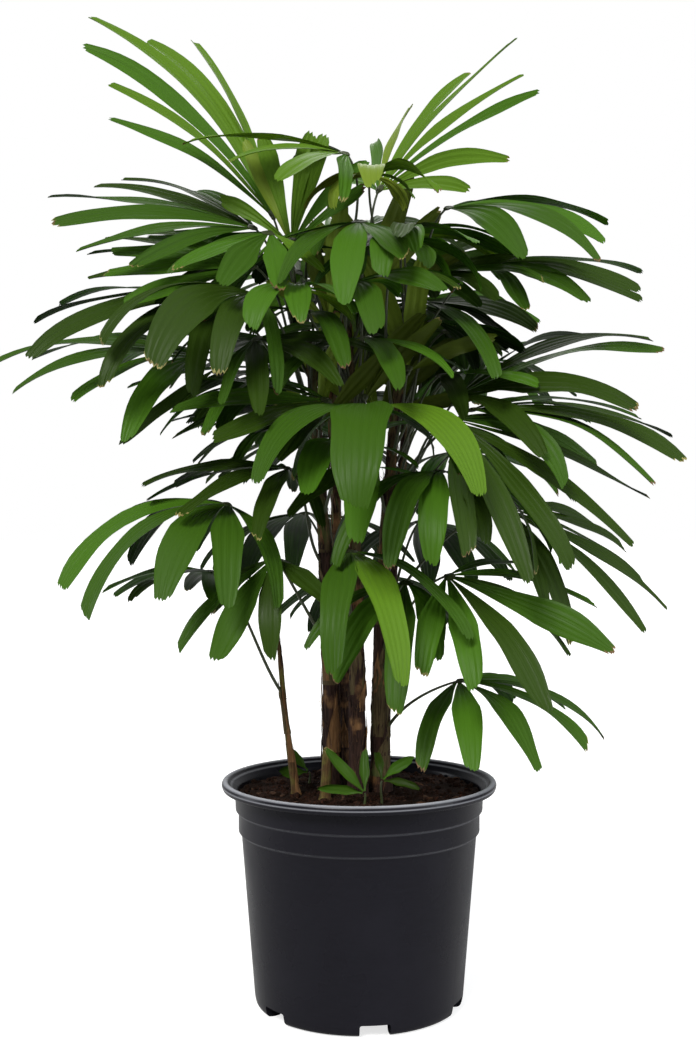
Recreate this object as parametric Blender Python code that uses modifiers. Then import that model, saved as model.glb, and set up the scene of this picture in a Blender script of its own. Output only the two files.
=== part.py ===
"""Lady palm in a plain nursery pot.

Metres, +Z up, the viewer on the -Y side. The origin is on the pot's axis, on the flat
underside that the pot stands on. Run with blender --background --python part.py.

The plant is a clump of canes in a filled pot. A cane carries fronds: each frond is a thin
stalk with a flat hub at its end, and a fan of blunt leaflets round the hub. A leaflet droops
under its own weight, and gives way to whatever stands before it.
"""
import math
import random
from collections import namedtuple

import bmesh
import bpy
from mathutils import Matrix, Quaternion, Vector
from mathutils.bvhtree import BVHTree

# The gap that neighbouring solids keep
CLEAR = 0.0003

# Pot: a turned shell with a rolled lip, two stepped bands below it and a foot ring with notches
ROUND_STEPS = 36
POT_HEIGHT = 0.2275
WALL = 0.0022
LIP_RADIUS = 0.1407
LIP_WIDTH = 0.0075
LIP_HEIGHT = 0.0095
LIP_ROUND = 0.0015
BAND_RADIUS = 0.1263
BAND_STEP = 0.0030
BAND_DEPTH = 0.0215
BAND_SLOPE = 0.0008
HEEL_RADIUS = 0.1066
HEEL_HEIGHT = 0.0090
HEEL_ROUND = 0.0040
FOOT_RADIUS = 0.0965
FOOT_WIDTH = 0.0075
FLOOR_RADIUS = 0.0615
FLOOR_STEP = 0.0120
FLOOR_THICKNESS = 0.0030
NOTCHES = 6
NOTCH_WIDTH = 0.030
NOTCH_HEIGHT = 0.0125
NOTCH_LENGTH = 0.031
NOTCH_TURN = -82.0

# Soil
SOIL_TOP = 0.2135

# Canes
CANE_SIDES = 8
CANE_STATIONS = 6
FLARE_SHARE = 0.06
FLARE = 0.22
CANE_TAPER = 1.5

# Stalks: three-sided, from a flat seat on a cane to the hub
SEAT_CLEAR = 0.0006
STALK_RADIUS = 0.0020
STALK_STATIONS = 5
STALK_THICK = 1.15
STALK_THIN = 0.80
STALK_RISE = 1.5
STALK_LEAVE = 0.35
STALK_ARRIVE = 0.30

# Hubs and leaflets
HUB_SIDES = 6
HUB_RADIUS = 0.0080
HUB_THICKNESS = 0.0036
ROOT_REACH = 0.0062
ROOT_WIDTH = 0.0022
ROOT_KEEL = 0.0012
KEEL_SHARE = 0.011
MIN_KEEL = 0.0022
LONG_LEAFLET = 0.17
TIP_START = 0.72
TIP_WIDTH = 0.44
STRAP_START = 0.40
STRAP_TAPER = 0.24
OUTER_SHORTER = 0.20
OUTER_NARROWER = 0.28
BEND_STEPS = 40
BEND_POWER = 1.2
MARGIN = 0.0007
SEED = 17

UP = Vector((0.0, 0.0, 1.0))
DOWN = -UP

# A cane's foot on the soil, its cut top, its bow halfway up, and its radii there
Cane = namedtuple("Cane", "name base top bow thick thin")
CANES = (
    Cane("cane_left", (-0.0275, 0.000), (-0.054, 0.000, 0.700), (0.006, 0.000), 0.0100, 0.0032),
    Cane("cane_middle", (-0.0020, -0.016), (-0.012, 0.004, 0.700), (0.003, 0.000), 0.0095, 0.0030),
    Cane("cane_right", (0.0230, 0.004), (0.047, 0.000, 0.690), (-0.009, 0.000), 0.0100, 0.0032),
    Cane("cane_far_left", (-0.0130, 0.040), (-0.030, 0.090, 0.660), (0.000, 0.000), 0.0090, 0.0030),
    Cane("cane_far_right", (0.0220, 0.045), (0.055, 0.085, 0.620), (-0.004, 0.000), 0.0090, 0.0030),
    Cane("cane_young", (-0.0640, -0.012), (-0.083, -0.020, 0.385), (-0.002, 0.000), 0.0044, 0.0018),
    Cane("cane_stub", (-0.0340, -0.040), (-0.032, -0.043, 0.266), (0.000, 0.000), 0.0058, 0.0042),
)

# A frond's place and pose: the cane it grows from and the height it leaves it at, the hub of
# its fan, the way the middle leaflet points (azimuth from +X, elevation), the fan's roll about
# that way, its whole spread, and its leaflets: how many, how long, how wide, how far they sag,
# and by what share they grow longer towards one side.
Frond = namedtuple(
    "Frond", "cane leave hub azimuth elevation roll spread count length width sag skew", defaults=(0.0,)
)
FRONDS = {
    "top": (
        Frond("cane_left", 0.690, (-0.088, 0.000, 0.803), 180, 61, -40, 50, 6, 0.290, 0.029, 34, 0.16),
        Frond("cane_left", 0.670, (-0.068, -0.030, 0.768), 0, 87, 75, 84, 7, 0.132, 0.026, 6),
        Frond("cane_middle", 0.690, (-0.012, -0.045, 0.856), 198, 14, -25, 150, 6, 0.160, 0.030, 42, 0.10),
        Frond("cane_middle", 0.675, (0.0195, 0.000, 0.830), 0, 58, 30, 140, 9, 0.205, 0.027, 28),
        Frond("cane_right", 0.680, (0.010, -0.050, 0.832), 290, 15, 0, 170, 6, 0.110, 0.029, 75),
        Frond("cane_middle", 0.655, (0.044, -0.010, 0.784), 300, 5, 10, 220, 9, 0.145, 0.029, 45),
    ),
    "left": (
        Frond("cane_left", 0.655, (-0.106, -0.010, 0.790), 182, 20, -32, 100, 7, 0.212, 0.030, 30),
        Frond("cane_left", 0.640, (-0.100, 0.020, 0.768), 180, 8, -28, 140, 8, 0.195, 0.030, 18),
        Frond("cane_left", 0.655, (-0.088, -0.060, 0.775), 232, -20, -20, 150, 6, 0.120, 0.029, 28),
        Frond("cane_left", 0.605, (-0.104, -0.035, 0.746), 190, 0, -40, 110, 7, 0.160, 0.030, 14),
        Frond("cane_left", 0.590, (-0.135, -0.020, 0.713), 185, 14, -18, 150, 7, 0.226, 0.036, 48),
        Frond("cane_left", 0.560, (-0.165, 0.030, 0.664), 183, 17, -18, 140, 7, 0.224, 0.035, 52),
        Frond("cane_left", 0.580, (-0.098, -0.070, 0.712), 215, 12, -25, 150, 6, 0.180, 0.040, 82),
        Frond("cane_left", 0.500, (-0.030, -0.060, 0.610), 196, 6, -30, 120, 5, 0.165, 0.032, 24),
        Frond("cane_left", 0.520, (-0.048, 0.020, 0.607), 182, 8, -10, 150, 6, 0.180, 0.034, 34),
        Frond("cane_left", 0.372, (-0.130, -0.050, 0.508), 210, 6, -10, 190, 8, 0.210, 0.040, 76),
        Frond("cane_young", 0.320, (-0.148, -0.030, 0.440), 195, 12, 0, 160, 5, 0.135, 0.027, 45),
        Frond("cane_left", 0.400, (-0.085, -0.080, 0.455), 242, -35, 0, 130, 5, 0.140, 0.029, 30),
        Frond("cane_left", 0.450, (-0.072, -0.010, 0.545), 190, 8, -10, 200, 8, 0.175, 0.030, 42),
        Frond("cane_far_left", 0.535, (-0.150, 0.050, 0.655), 180, -50, -75, 26, 2, 0.190, 0.022, 5),
    ),
    "right": (
        Frond("cane_right", 0.665, (0.088, -0.020, 0.808), 345, 10, 20, 150, 7, 0.200, 0.038, 50),
        Frond("cane_right", 0.645, (0.130, 0.020, 0.760), 350, 5, 18, 130, 7, 0.192, 0.033, 34),
        Frond("cane_right", 0.500, (0.104, 0.010, 0.622), 0, 38, 24, 140, 7, 0.225, 0.033, 44),
        Frond("cane_right", 0.520, (0.112, -0.030, 0.603), 352, 9, 18, 100, 6, 0.245, 0.033, 42),
        Frond("cane_right", 0.480, (0.090, -0.060, 0.592), 350, -26, 32, 130, 7, 0.225, 0.037, 26),
        Frond("cane_right", 0.430, (0.078, -0.060, 0.540), 285, 2, 0, 180, 8, 0.200, 0.030, 84),
        Frond("cane_right", 0.400, (0.150, 0.010, 0.505), 350, -20, 24, 110, 7, 0.192, 0.030, 34),
        Frond("cane_right", 0.340, (0.085, -0.070, 0.438), 335, -16, 25, 150, 7, 0.180, 0.036, 38),
        Frond("cane_right", 0.280, (0.099, -0.040, 0.332), 330, 2, 8, 170, 7, 0.165, 0.034, 60),
        Frond("cane_far_right", 0.560, (0.066, 0.030, 0.722), 300, -10, 0, 230, 9, 0.165, 0.036, 58),
    ),
    "front": (
        Frond("cane_right", 0.500, (0.008, -0.078, 0.602), 268, 8, 0, 190, 5, 0.205, 0.060, 88, -0.08),
        Frond("cane_middle", 0.380, (-0.010, -0.080, 0.462), 272, -4, 0, 180, 6, 0.190, 0.036, 80),
        Frond("cane_right", 0.360, (0.045, -0.070, 0.432), 278, -20, 0, 150, 6, 0.160, 0.031, 55),
        Frond("cane_middle", 0.620, (-0.062, -0.080, 0.716), 275, 10, 0, 190, 7, 0.115, 0.030, 75),
        Frond("cane_right", 0.600, (0.034, -0.075, 0.765), 285, 5, 0, 200, 6, 0.120, 0.030, 80),
        Frond("cane_middle", 0.560, (-0.008, -0.080, 0.722), 310, 8, 20, 170, 7, 0.135, 0.032, 50),
        Frond("cane_left", 0.540, (-0.104, -0.048, 0.672), 325, 0, 25, 150, 6, 0.150, 0.030, 38),
        Frond("cane_middle", 0.600, (0.000, -0.062, 0.785), 265, -15, 0, 200, 7, 0.150, 0.031, 58),
    ),
    "back": (
        Frond("cane_far_right", 0.610, (0.060, 0.150, 0.740), 50, 20, 0, 230, 8, 0.185, 0.042, 45),
        Frond("cane_far_left", 0.650, (-0.030, 0.160, 0.770), 100, 25, 0, 210, 8, 0.185, 0.038, 45),
        Frond("cane_far_left", 0.620, (-0.080, 0.120, 0.690), 140, 15, 0, 190, 8, 0.175, 0.036, 45),
        Frond("cane_far_right", 0.585, (0.120, 0.130, 0.670), 35, 10, 0, 190, 8, 0.175, 0.036, 50),
        Frond("cane_far_left", 0.560, (0.000, 0.190, 0.640), 85, 10, 0, 210, 8, 0.180, 0.038, 50),
        Frond("cane_far_left", 0.500, (-0.040, 0.200, 0.590), 110, 10, 0, 180, 8, 0.175, 0.036, 55),
        Frond("cane_far_right", 0.480, (0.110, 0.140, 0.570), 40, 5, 0, 190, 8, 0.180, 0.036, 55),
        Frond("cane_far_left", 0.420, (-0.060, 0.160, 0.500), 110, 0, 0, 190, 8, 0.180, 0.036, 60),
        Frond("cane_far_right", 0.400, (0.070, 0.160, 0.490), 70, -5, 0, 190, 8, 0.175, 0.036, 60),
        Frond("cane_far_left", 0.340, (0.010, 0.140, 0.430), 95, 0, 0, 170, 7, 0.155, 0.036, 65),
    ),
    "low": (
        Frond("soil", 0.0, (0.005, -0.070, 0.226), 168, 50, -65, 80, 3, 0.062, 0.013, 12),
        Frond("soil", 0.0, (0.022, -0.060, 0.236), 15, 48, 55, 90, 3, 0.050, 0.012, 45),
        Frond("soil", 0.0, (-0.052, 0.030, 0.228), 190, 30, -50, 60, 2, 0.050, 0.018, 20),
    ),
}

# Ways a leaflet may give way to what is already there: its length, turn and sag, in degrees
SHORTENINGS = (1.0, 0.88, 0.76, 0.64, 0.52)
TURNS = (0, 5, -5, 10, -10)
EXTRA_SAGS = (0, 10, -10, 22, -20)
# A stalk gives way by leaving its cane higher or lower
LEAVE_SHIFTS = (0.0, 0.008, -0.008, 0.016, -0.016, 0.026, -0.026, 0.038, -0.038)
# How far a leaflet strays by chance: its turn and twist in degrees, its length, width and sag
STRAY_TURN = 3
STRAY_TWIST = 13
EVEN_TWIST = 6
STRAY_LENGTH = (0.86, 1.06)
STRAY_WIDTH = (0.86, 1.14)
STRAY_SAG = 8

MATERIALS = {
    "pot": ((0.020, 0.022, 0.026), 0.38),
    "soil": ((0.030, 0.014, 0.008), 0.95),
    "cane": ((0.060, 0.030, 0.018), 0.85),
    "frond": ((0.045, 0.150, 0.020), 0.45),
}


def material(name, kind):
    """A part's own material, in its kind's colour and roughness."""
    made = bpy.data.materials.new(name)
    made.use_nodes = True
    shader = made.node_tree.nodes["Principled BSDF"]
    colour, roughness = MATERIALS[kind]
    shader.inputs["Base Color"].default_value = (*colour, 1.0)
    shader.inputs["Roughness"].default_value = roughness
    shader.inputs["Metallic"].default_value = 0.0
    return made


def add_object(name, mesh, collection):
    """A mesh as a named object."""
    made = bpy.data.objects.new(name, mesh)
    collection.objects.link(made)
    return made


def add_part(name, mesh, kind, collection):
    """A mesh as a sub-part with its own material."""
    mesh.materials.append(material(name, kind))
    return add_object(name, mesh, collection)


def new_collection(name):
    """A collection under the scene's own."""
    made = bpy.data.collections.new(name)
    bpy.context.scene.collection.children.link(made)
    return made


def loft(name, rings):
    """A closed mesh through rings with equal numbers of points, capped at both ends."""
    shape = bmesh.new()
    rows = [[shape.verts.new(point) for point in ring] for ring in rings]
    sides = len(rows[0])
    for low, high in zip(rows, rows[1:]):
        for side in range(sides):
            after = (side + 1) % sides
            shape.faces.new((low[side], low[after], high[after], high[side]))
    shape.faces.new(rows[0][::-1])
    shape.faces.new(rows[-1])
    bmesh.ops.recalc_face_normals(shape, faces=shape.faces)
    mesh = bpy.data.meshes.new(name)
    shape.to_mesh(mesh)
    shape.free()
    return mesh


def tree_of(rings):
    """A search tree over the sides of a loft, to test it against others."""
    points = [point for ring in rings for point in ring]
    sides = len(rings[0])
    faces = []
    for row in range(len(rings) - 1):
        for side in range(sides):
            low = row * sides + side
            after = row * sides + (side + 1) % sides
            faces.append((low, after, after + sides))
            faces.append((low, after + sides, low + sides))
    return BVHTree.FromPolygons(points, faces)


# Pot and soil

def pot_inside():
    """The pot's half section from the middle of its floor up the inside to the lip."""
    lip_low = POT_HEIGHT - LIP_HEIGHT
    second_low = lip_low - 2 * BAND_DEPTH
    well = FLOOR_RADIUS - FLOOR_THICKNESS
    plate = FLOOR_STEP + FLOOR_THICKNESS
    return [
        (0.0, FLOOR_THICKNESS),
        (well, FLOOR_THICKNESS),
        (well, plate),
        (HEEL_RADIUS - 1.5 * WALL, plate),
        (BAND_RADIUS - 2 * BAND_STEP - WALL, second_low),
        (BAND_RADIUS - WALL, lip_low),
        (LIP_RADIUS - LIP_WIDTH, POT_HEIGHT - 2 * LIP_ROUND),
    ]


def pot_lip():
    """The lip's half section, over its crest and down to its lower edge."""
    lip_low = POT_HEIGHT - LIP_HEIGHT
    return [
        (LIP_RADIUS - LIP_WIDTH + LIP_ROUND, POT_HEIGHT - 0.3 * LIP_ROUND),
        (LIP_RADIUS - 2 * LIP_ROUND, POT_HEIGHT),
        (LIP_RADIUS - 0.5 * LIP_ROUND, POT_HEIGHT - LIP_ROUND),
        (LIP_RADIUS, POT_HEIGHT - 3 * LIP_ROUND),
        (LIP_RADIUS - LIP_ROUND, lip_low + 0.5 * LIP_ROUND),
        (LIP_RADIUS - 2 * LIP_ROUND, lip_low),
        (BAND_RADIUS + BAND_SLOPE, lip_low + BAND_SLOPE),
    ]


def pot_outside():
    """The pot's half section down its stepped bands and wall to the middle of its underside."""
    band_low = POT_HEIGHT - LIP_HEIGHT - BAND_DEPTH
    second_low = band_low - BAND_DEPTH
    inner_foot = FOOT_RADIUS - FOOT_WIDTH
    return [
        (BAND_RADIUS, band_low + BAND_SLOPE),
        (BAND_RADIUS - BAND_STEP, band_low),
        (BAND_RADIUS - BAND_STEP, second_low + BAND_SLOPE),
        (BAND_RADIUS - 2 * BAND_STEP, second_low),
        (HEEL_RADIUS, HEEL_HEIGHT),
        (HEEL_RADIUS - 0.3 * HEEL_ROUND, 0.4 * HEEL_HEIGHT),
        (HEEL_RADIUS - HEEL_ROUND, 0.12 * HEEL_HEIGHT),
        (FOOT_RADIUS, 0.0),
        (inner_foot, 0.0),
        (inner_foot - LIP_ROUND, FLOOR_STEP),
        (FLOOR_RADIUS + LIP_ROUND, FLOOR_STEP),
        (FLOOR_RADIUS, 0.0),
        (0.0, 0.0),
    ]


def soil_profile():
    """The soil's half section: the pot's inside less a small gap, from its top to its foot."""
    heel, band, rim = pot_inside()[3:6]
    share = (SOIL_TOP - band[1]) / (rim[1] - band[1])
    top_radius = band[0] + share * (rim[0] - band[0])
    foot = heel[1] + CLEAR
    return [
        (0.0, SOIL_TOP),
        (top_radius - CLEAR, SOIL_TOP),
        (band[0] - CLEAR, band[1]),
        (heel[0] - CLEAR, foot),
        (0.0, foot),
    ]


def turned(name, profile, collection):
    """A profile turned about Z with a Screw modifier."""
    mesh = bpy.data.meshes.new(name)
    edges = [(index, index + 1) for index in range(len(profile) - 1)]
    mesh.from_pydata([(radius, 0.0, height) for radius, height in profile], edges, [])
    made = add_part(name, mesh, name, collection)
    screw = made.modifiers.new("turn", "SCREW")
    screw.steps = ROUND_STEPS
    screw.render_steps = ROUND_STEPS
    screw.use_merge_vertices = True
    screw.merge_threshold = 0.00005
    return made


def notch_cutter(index, cutters):
    """A block that cuts one drain notch through the foot ring."""
    turn = math.radians(NOTCH_TURN + index * 360 / NOTCHES)
    middle = FOOT_RADIUS - FOOT_WIDTH + NOTCH_LENGTH / 2 - 2 * LIP_ROUND
    shape = bmesh.new()
    size = Matrix.Diagonal((NOTCH_LENGTH, NOTCH_WIDTH, 2 * NOTCH_HEIGHT, 1.0))
    bmesh.ops.create_cube(shape, size=1.0, matrix=size)
    mesh = bpy.data.meshes.new(f"notch_cutter_{index + 1}")
    shape.to_mesh(mesh)
    shape.free()
    block = add_object(mesh.name, mesh, cutters)
    block.rotation_euler = (0.0, 0.0, turn)
    block.location = (middle * math.cos(turn), middle * math.sin(turn), 0.0)
    block.hide_render = True
    block.display_type = "WIRE"
    return block


def add_pot(parts, cutters):
    """The pot, with the drain notches cut through its foot ring."""
    pot = turned("pot", pot_inside() + pot_lip() + pot_outside(), parts)
    for index in range(NOTCHES):
        cut = pot.modifiers.new(f"notch_{index + 1}", "BOOLEAN")
        cut.operation = "DIFFERENCE"
        cut.object = notch_cutter(index, cutters)
    return pot


def rim_tree():
    """A search tree over the pot's rim, a little fattened, for the leaves that hang near it."""
    rings = []
    for radius, height in pot_inside()[5:] + pot_lip():
        arm = Vector((radius + MARGIN, 0.0, height))
        turns = [2 * math.pi * step / ROUND_STEPS for step in range(ROUND_STEPS)]
        rings.append([Matrix.Rotation(turn, 3, "Z") @ arm for turn in turns])
    return tree_of(rings)


# Canes

def cane_axis(cane, share):
    """The middle of a cane at a share of its height: straight from base to top, plus its bow."""
    foot = Vector((*cane.base, SOIL_TOP + CLEAR))
    bow = 4 * share * (1 - share)
    return foot.lerp(Vector(cane.top), share) + bow * Vector((*cane.bow, 0.0))


def cane_radius(cane, share):
    """A cane's radius at a share of its height: a flare at the foot, then a taper that eases."""
    flare = FLARE * cane.thick * max(0.0, 1 - share / FLARE_SHARE)
    return cane.thin + (cane.thick - cane.thin) * (1 - share) ** CANE_TAPER + flare


def cane_rings(cane):
    """Level rings up a cane, the first two close together for the flare."""
    rings = []
    rest = [FLARE_SHARE + (1 - FLARE_SHARE) * step / CANE_STATIONS for step in range(CANE_STATIONS + 1)]
    for share in [0.0] + rest:
        middle = cane_axis(cane, share)
        radius = cane_radius(cane, share)
        ring = []
        for side in range(CANE_SIDES):
            turn = 2 * math.pi * side / CANE_SIDES
            ring.append(middle + radius * Vector((math.cos(turn), math.sin(turn), 0.0)))
        rings.append(ring)
    return rings


# Fronds

def heading(azimuth, elevation):
    """A direction from its azimuth and elevation in degrees."""
    turn = math.radians(azimuth)
    rise = math.radians(elevation)
    return Vector((math.cos(rise) * math.cos(turn), math.cos(rise) * math.sin(turn), math.sin(rise)))


def fan_axes(frond):
    """The way a fan points, its side and its upper face's normal."""
    forward = heading(frond.azimuth, frond.elevation)
    side = forward.cross(UP).normalized()
    side.rotate(Quaternion(forward, math.radians(frond.roll)))
    return forward, side, side.cross(forward)


def stalk_seat(frond, leave):
    """Where a stalk stands on its cane's flat side, or on the soil, and the way it leaves."""
    hub = Vector(frond.hub)
    if frond.cane == "soil":
        return Vector((hub.x, hub.y, SOIL_TOP + SEAT_CLEAR)), UP
    cane = next(item for item in CANES if item.name == frond.cane)
    share = (leave - SOIL_TOP) / (cane.top[2] - SOIL_TOP)
    middle = cane_axis(cane, share)
    away = hub - middle
    flat = 2 * math.pi / CANE_SIDES
    turn = (math.floor(math.atan2(away.y, away.x) / flat) + 0.5) * flat
    outward = Vector((math.cos(turn), math.sin(turn), 0.0))
    flat_radius = cane_radius(cane, share) * math.cos(0.5 * flat)
    return middle + outward * (flat_radius + SEAT_CLEAR), outward


def stalk_points(frond, seat, way):
    """The stalk's axis from its seat to the hub, a smooth curve of four handles."""
    hub = Vector(frond.hub)
    span = (hub - seat).length
    rise = (way + STALK_RISE * UP).normalized()
    arrive = ((hub - seat).normalized() + fan_axes(frond)[0]).normalized()
    handles = (seat, seat + STALK_LEAVE * span * rise, hub - STALK_ARRIVE * span * arrive, hub)
    points = []
    for step in range(STALK_STATIONS):
        t = step / (STALK_STATIONS - 1)
        weights = ((1 - t) ** 3, 3 * t * (1 - t) ** 2, 3 * t * t * (1 - t), t ** 3)
        point = Vector((0.0, 0.0, 0.0))
        for weight, handle in zip(weights, handles):
            point += weight * handle
        points.append(point)
    return points


def stalk_rings(points, way):
    """Three-sided rings along a stalk, the first one flat against what it stands on."""
    rings = []
    last = len(points) - 1
    for index, point in enumerate(points):
        tangent = (points[min(index + 1, last)] - points[max(index - 1, 0)]).normalized()
        if index == 0:
            tangent = way
        side = tangent.cross(UP)
        if side.length < 0.05:
            side = Vector((1.0, 0.0, 0.0))
        side.normalize()
        face = side.cross(tangent)
        radius = STALK_RADIUS * (STALK_THICK + (STALK_THIN - STALK_THICK) * index / last)
        ring = []
        for corner in range(3):
            turn = 2 * math.pi * corner / 3 + math.pi / 2
            ring.append(point + radius * (math.cos(turn) * side + math.sin(turn) * face))
        rings.append(ring)
    return rings


def hub_shape(frond):
    """The flat hub that a fan's leaflets are joined to."""
    forward, side, normal = fan_axes(frond)
    place = Matrix((forward, side, normal)).transposed().to_4x4()
    place.translation = Vector(frond.hub)
    shape = bmesh.new()
    bmesh.ops.create_cone(
        shape, cap_ends=True, segments=HUB_SIDES, radius1=HUB_RADIUS, radius2=HUB_RADIUS,
        depth=HUB_THICKNESS, matrix=place,
    )
    bmesh.ops.recalc_face_normals(shape, faces=shape.faces)
    return shape


Leaflet = namedtuple("Leaflet", "start way across length width sag wedge")


def leaflet_width(leaflet, share):
    """A leaflet's width at a share of its length: a wedge from the hub, a slim strap, a blunt tip."""
    tip = max(0.0, (share - TIP_START) / (1 - TIP_START))
    slim = max(0.0, (share - STRAP_START) / (1 - STRAP_START))
    strap = leaflet.width * (1 - STRAP_TAPER * slim) * (1 - (1 - TIP_WIDTH) * tip ** 2)
    wedge = ROOT_WIDTH + 2 * math.tan(leaflet.wedge) * (share * leaflet.length - ROOT_REACH)
    return min(strap, max(ROOT_WIDTH, wedge))


def leaflet_shares(leaflet):
    """The shares of its length at which a leaflet's rings lie, from its root in the hub."""
    root = ROOT_REACH / leaflet.length
    full = root + 0.5 * (leaflet.width - ROOT_WIDTH) / math.tan(leaflet.wedge) / leaflet.length
    full = min(full, 0.55)
    if leaflet.length > LONG_LEAFLET:
        late = TIP_START + 0.05
        return (root, full, 0.5 * (full + late), late, 1.0)
    return (root, full, TIP_START, 1.0)


def leaflet_stations(leaflet, shares):
    """Points, across vectors and normals of a leaflet whose way bends towards the ground."""
    most = 0.9 * leaflet.way.angle(DOWN)
    axis = leaflet.way.cross(DOWN)
    point = leaflet.start.copy()
    wanted = list(shares)
    stations = []
    for step in range(BEND_STEPS + 1):
        t = step / BEND_STEPS
        bend = min(math.radians(leaflet.sag) * t ** BEND_POWER, most)
        turn = Quaternion(axis, bend)
        way = turn @ leaflet.way
        across = turn @ leaflet.across
        while wanted and wanted[0] < t + 0.5 / BEND_STEPS:
            share = wanted.pop(0)
            place = point + way * (share - t) * leaflet.length
            stations.append((share, place, across, across.cross(way)))
        point += way * leaflet.length / BEND_STEPS
    return stations


def keel_depth(leaflet, share):
    """How far a leaflet's keel lies below its edges, less at the root."""
    return ROOT_KEEL if share < 0.1 else max(MIN_KEEL, KEEL_SHARE * leaflet.length)


def leaflet_rings(leaflet):
    """Three-sided rings along a leaflet: two edges and a keel below."""
    rings = []
    for share, point, across, face in leaflet_stations(leaflet, leaflet_shares(leaflet)):
        half = 0.5 * leaflet_width(leaflet, share)
        rings.append([point - half * across, point + half * across,
                      point - keel_depth(leaflet, share) * face])
    return rings


def leaflet_hull(leaflet, shares):
    """A leaflet's rings with a margin all round, for the test against its neighbours."""
    rings = []
    for share, point, across, face in leaflet_stations(leaflet, shares):
        half = 0.5 * leaflet_width(leaflet, share) + MARGIN
        keel = keel_depth(leaflet, share) + MARGIN
        left = point - half * across
        right = point + half * across
        rise = MARGIN * face
        rings.append([left - rise, left + rise, right + rise, right - rise, point - keel * face])
    return rings


def leaflet_trees(leaflet):
    """Search trees for a leaflet: its solid, and the smooth blade it stands for."""
    even = [0.04 + 0.12 * step for step in range(9)]
    return [tree_of(leaflet_hull(leaflet, shares)) for shares in (leaflet_shares(leaflet), even)]


def fan_leaflet(frond, place, turn, extra_sag, shortening, chance):
    """One leaflet of a fan, at its place from -1 to 1 across it."""
    forward, side, normal = fan_axes(frond)
    angle = math.radians(0.5 * frond.spread * place + turn + chance["turn"])
    way = math.cos(angle) * forward + math.sin(angle) * side
    across = way.cross(normal).normalized()
    across.rotate(Quaternion(way, math.radians(chance["twist"])))
    outer = abs(place)
    share = 1 - OUTER_SHORTER * outer * outer + frond.skew * place
    length = frond.length * share * chance["length"] * shortening
    width = frond.width * (1 - OUTER_NARROWER * outer) * chance["width"]
    sag = max(0.0, frond.sag + extra_sag + chance["sag"])
    wedge = math.radians(0.42 * frond.spread / (frond.count - 1))
    return Leaflet(Vector(frond.hub), way, across, length, width, sag, wedge)


def touches(tree, others):
    """Whether a search tree cuts any other."""
    return any(tree.overlap(other) for other in others)


def plan_stalk(frond, standing):
    """A stalk that is clear of the canes and the stalks before it."""
    hub = BVHTree.FromBMesh(hub_shape(frond))
    for shift in LEAVE_SHIFTS:
        seat, way = stalk_seat(frond, frond.leave + shift)
        rings = stalk_rings(stalk_points(frond, seat, way), way)
        stalk = tree_of(rings)
        if not touches(stalk, standing) and not touches(hub, standing):
            return rings, [stalk, hub]
    return None, None


def leaflet_trials(frond, place, chance):
    """The leaflet at a place in a fan as it would like to be, then the ways it may give way."""
    for shortening in SHORTENINGS:
        for turn in TURNS:
            for extra_sag in EXTRA_SAGS:
                yield fan_leaflet(frond, place, turn, extra_sag, shortening, chance)


def plan_leaflets(frond, standing, chances):
    """A frond's leaflets, each one clear of everything that stands before it."""
    leaflets = []
    trees = []
    for index in range(frond.count):
        twist = EVEN_TWIST if index % 2 else -EVEN_TWIST
        chance = {
            "turn": chances.uniform(-STRAY_TURN, STRAY_TURN),
            "twist": chances.uniform(-STRAY_TWIST, STRAY_TWIST) + twist,
            "length": chances.uniform(*STRAY_LENGTH),
            "width": chances.uniform(*STRAY_WIDTH),
            "sag": chances.uniform(-STRAY_SAG, STRAY_SAG),
        }
        for trial in leaflet_trials(frond, 2 * index / (frond.count - 1) - 1, chance):
            shapes = leaflet_trees(trial)
            if not any(touches(shape, standing) for shape in shapes):
                leaflets.append(trial)
                trees += shapes
                break
    return leaflets, trees


def plan_fronds(obstacles):
    """Every frond's stalk and leaflets, in the order of the list above."""
    chances = random.Random(SEED)
    stalks = {}
    for side, rows in FRONDS.items():
        for index, frond in enumerate(rows):
            standing = obstacles + [tree for plan in stalks.values() for tree in plan[2]]
            rings, trees = plan_stalk(frond, standing)
            if rings:
                stalks[f"frond_{side}_{index + 1}"] = (frond, rings, trees)
    plans = {}
    leaf_trees = []
    for name, (frond, rings, _) in stalks.items():
        others = [tree for other, plan in stalks.items() if other != name for tree in plan[2]]
        leaflets, trees = plan_leaflets(frond, obstacles + others + leaf_trees, chances)
        leaf_trees += trees
        plans[name] = (frond, rings, leaflets)
    return plans


def add_frond(name, frond, rings, leaflets, parts):
    """A frond: its stalk with the hub and every leaflet joined to it."""
    made = add_part(name, loft(name, rings), "frond", parts)
    fan = new_collection(f"{name}_fan")
    hub = bpy.data.meshes.new(f"{name}_hub")
    shape = hub_shape(frond)
    shape.to_mesh(hub)
    shape.free()
    add_object(hub.name, hub, fan)
    for index, leaflet in enumerate(leaflets):
        blade = loft(f"{name}_leaflet_{index + 1}", leaflet_rings(leaflet))
        add_object(blade.name, blade, fan)
    union = made.modifiers.new("join", "BOOLEAN")
    union.operation = "UNION"
    union.operand_type = "COLLECTION"
    union.collection = fan
    union.solver = "MANIFOLD"
    bpy.context.view_layer.update()
    joined = bpy.data.meshes.new_from_object(made.evaluated_get(bpy.context.evaluated_depsgraph_get()))
    made.modifiers.remove(union)
    made.data = joined
    for piece in list(fan.objects):
        bpy.data.objects.remove(piece)
    bpy.data.collections.remove(fan)
    return made


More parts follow.
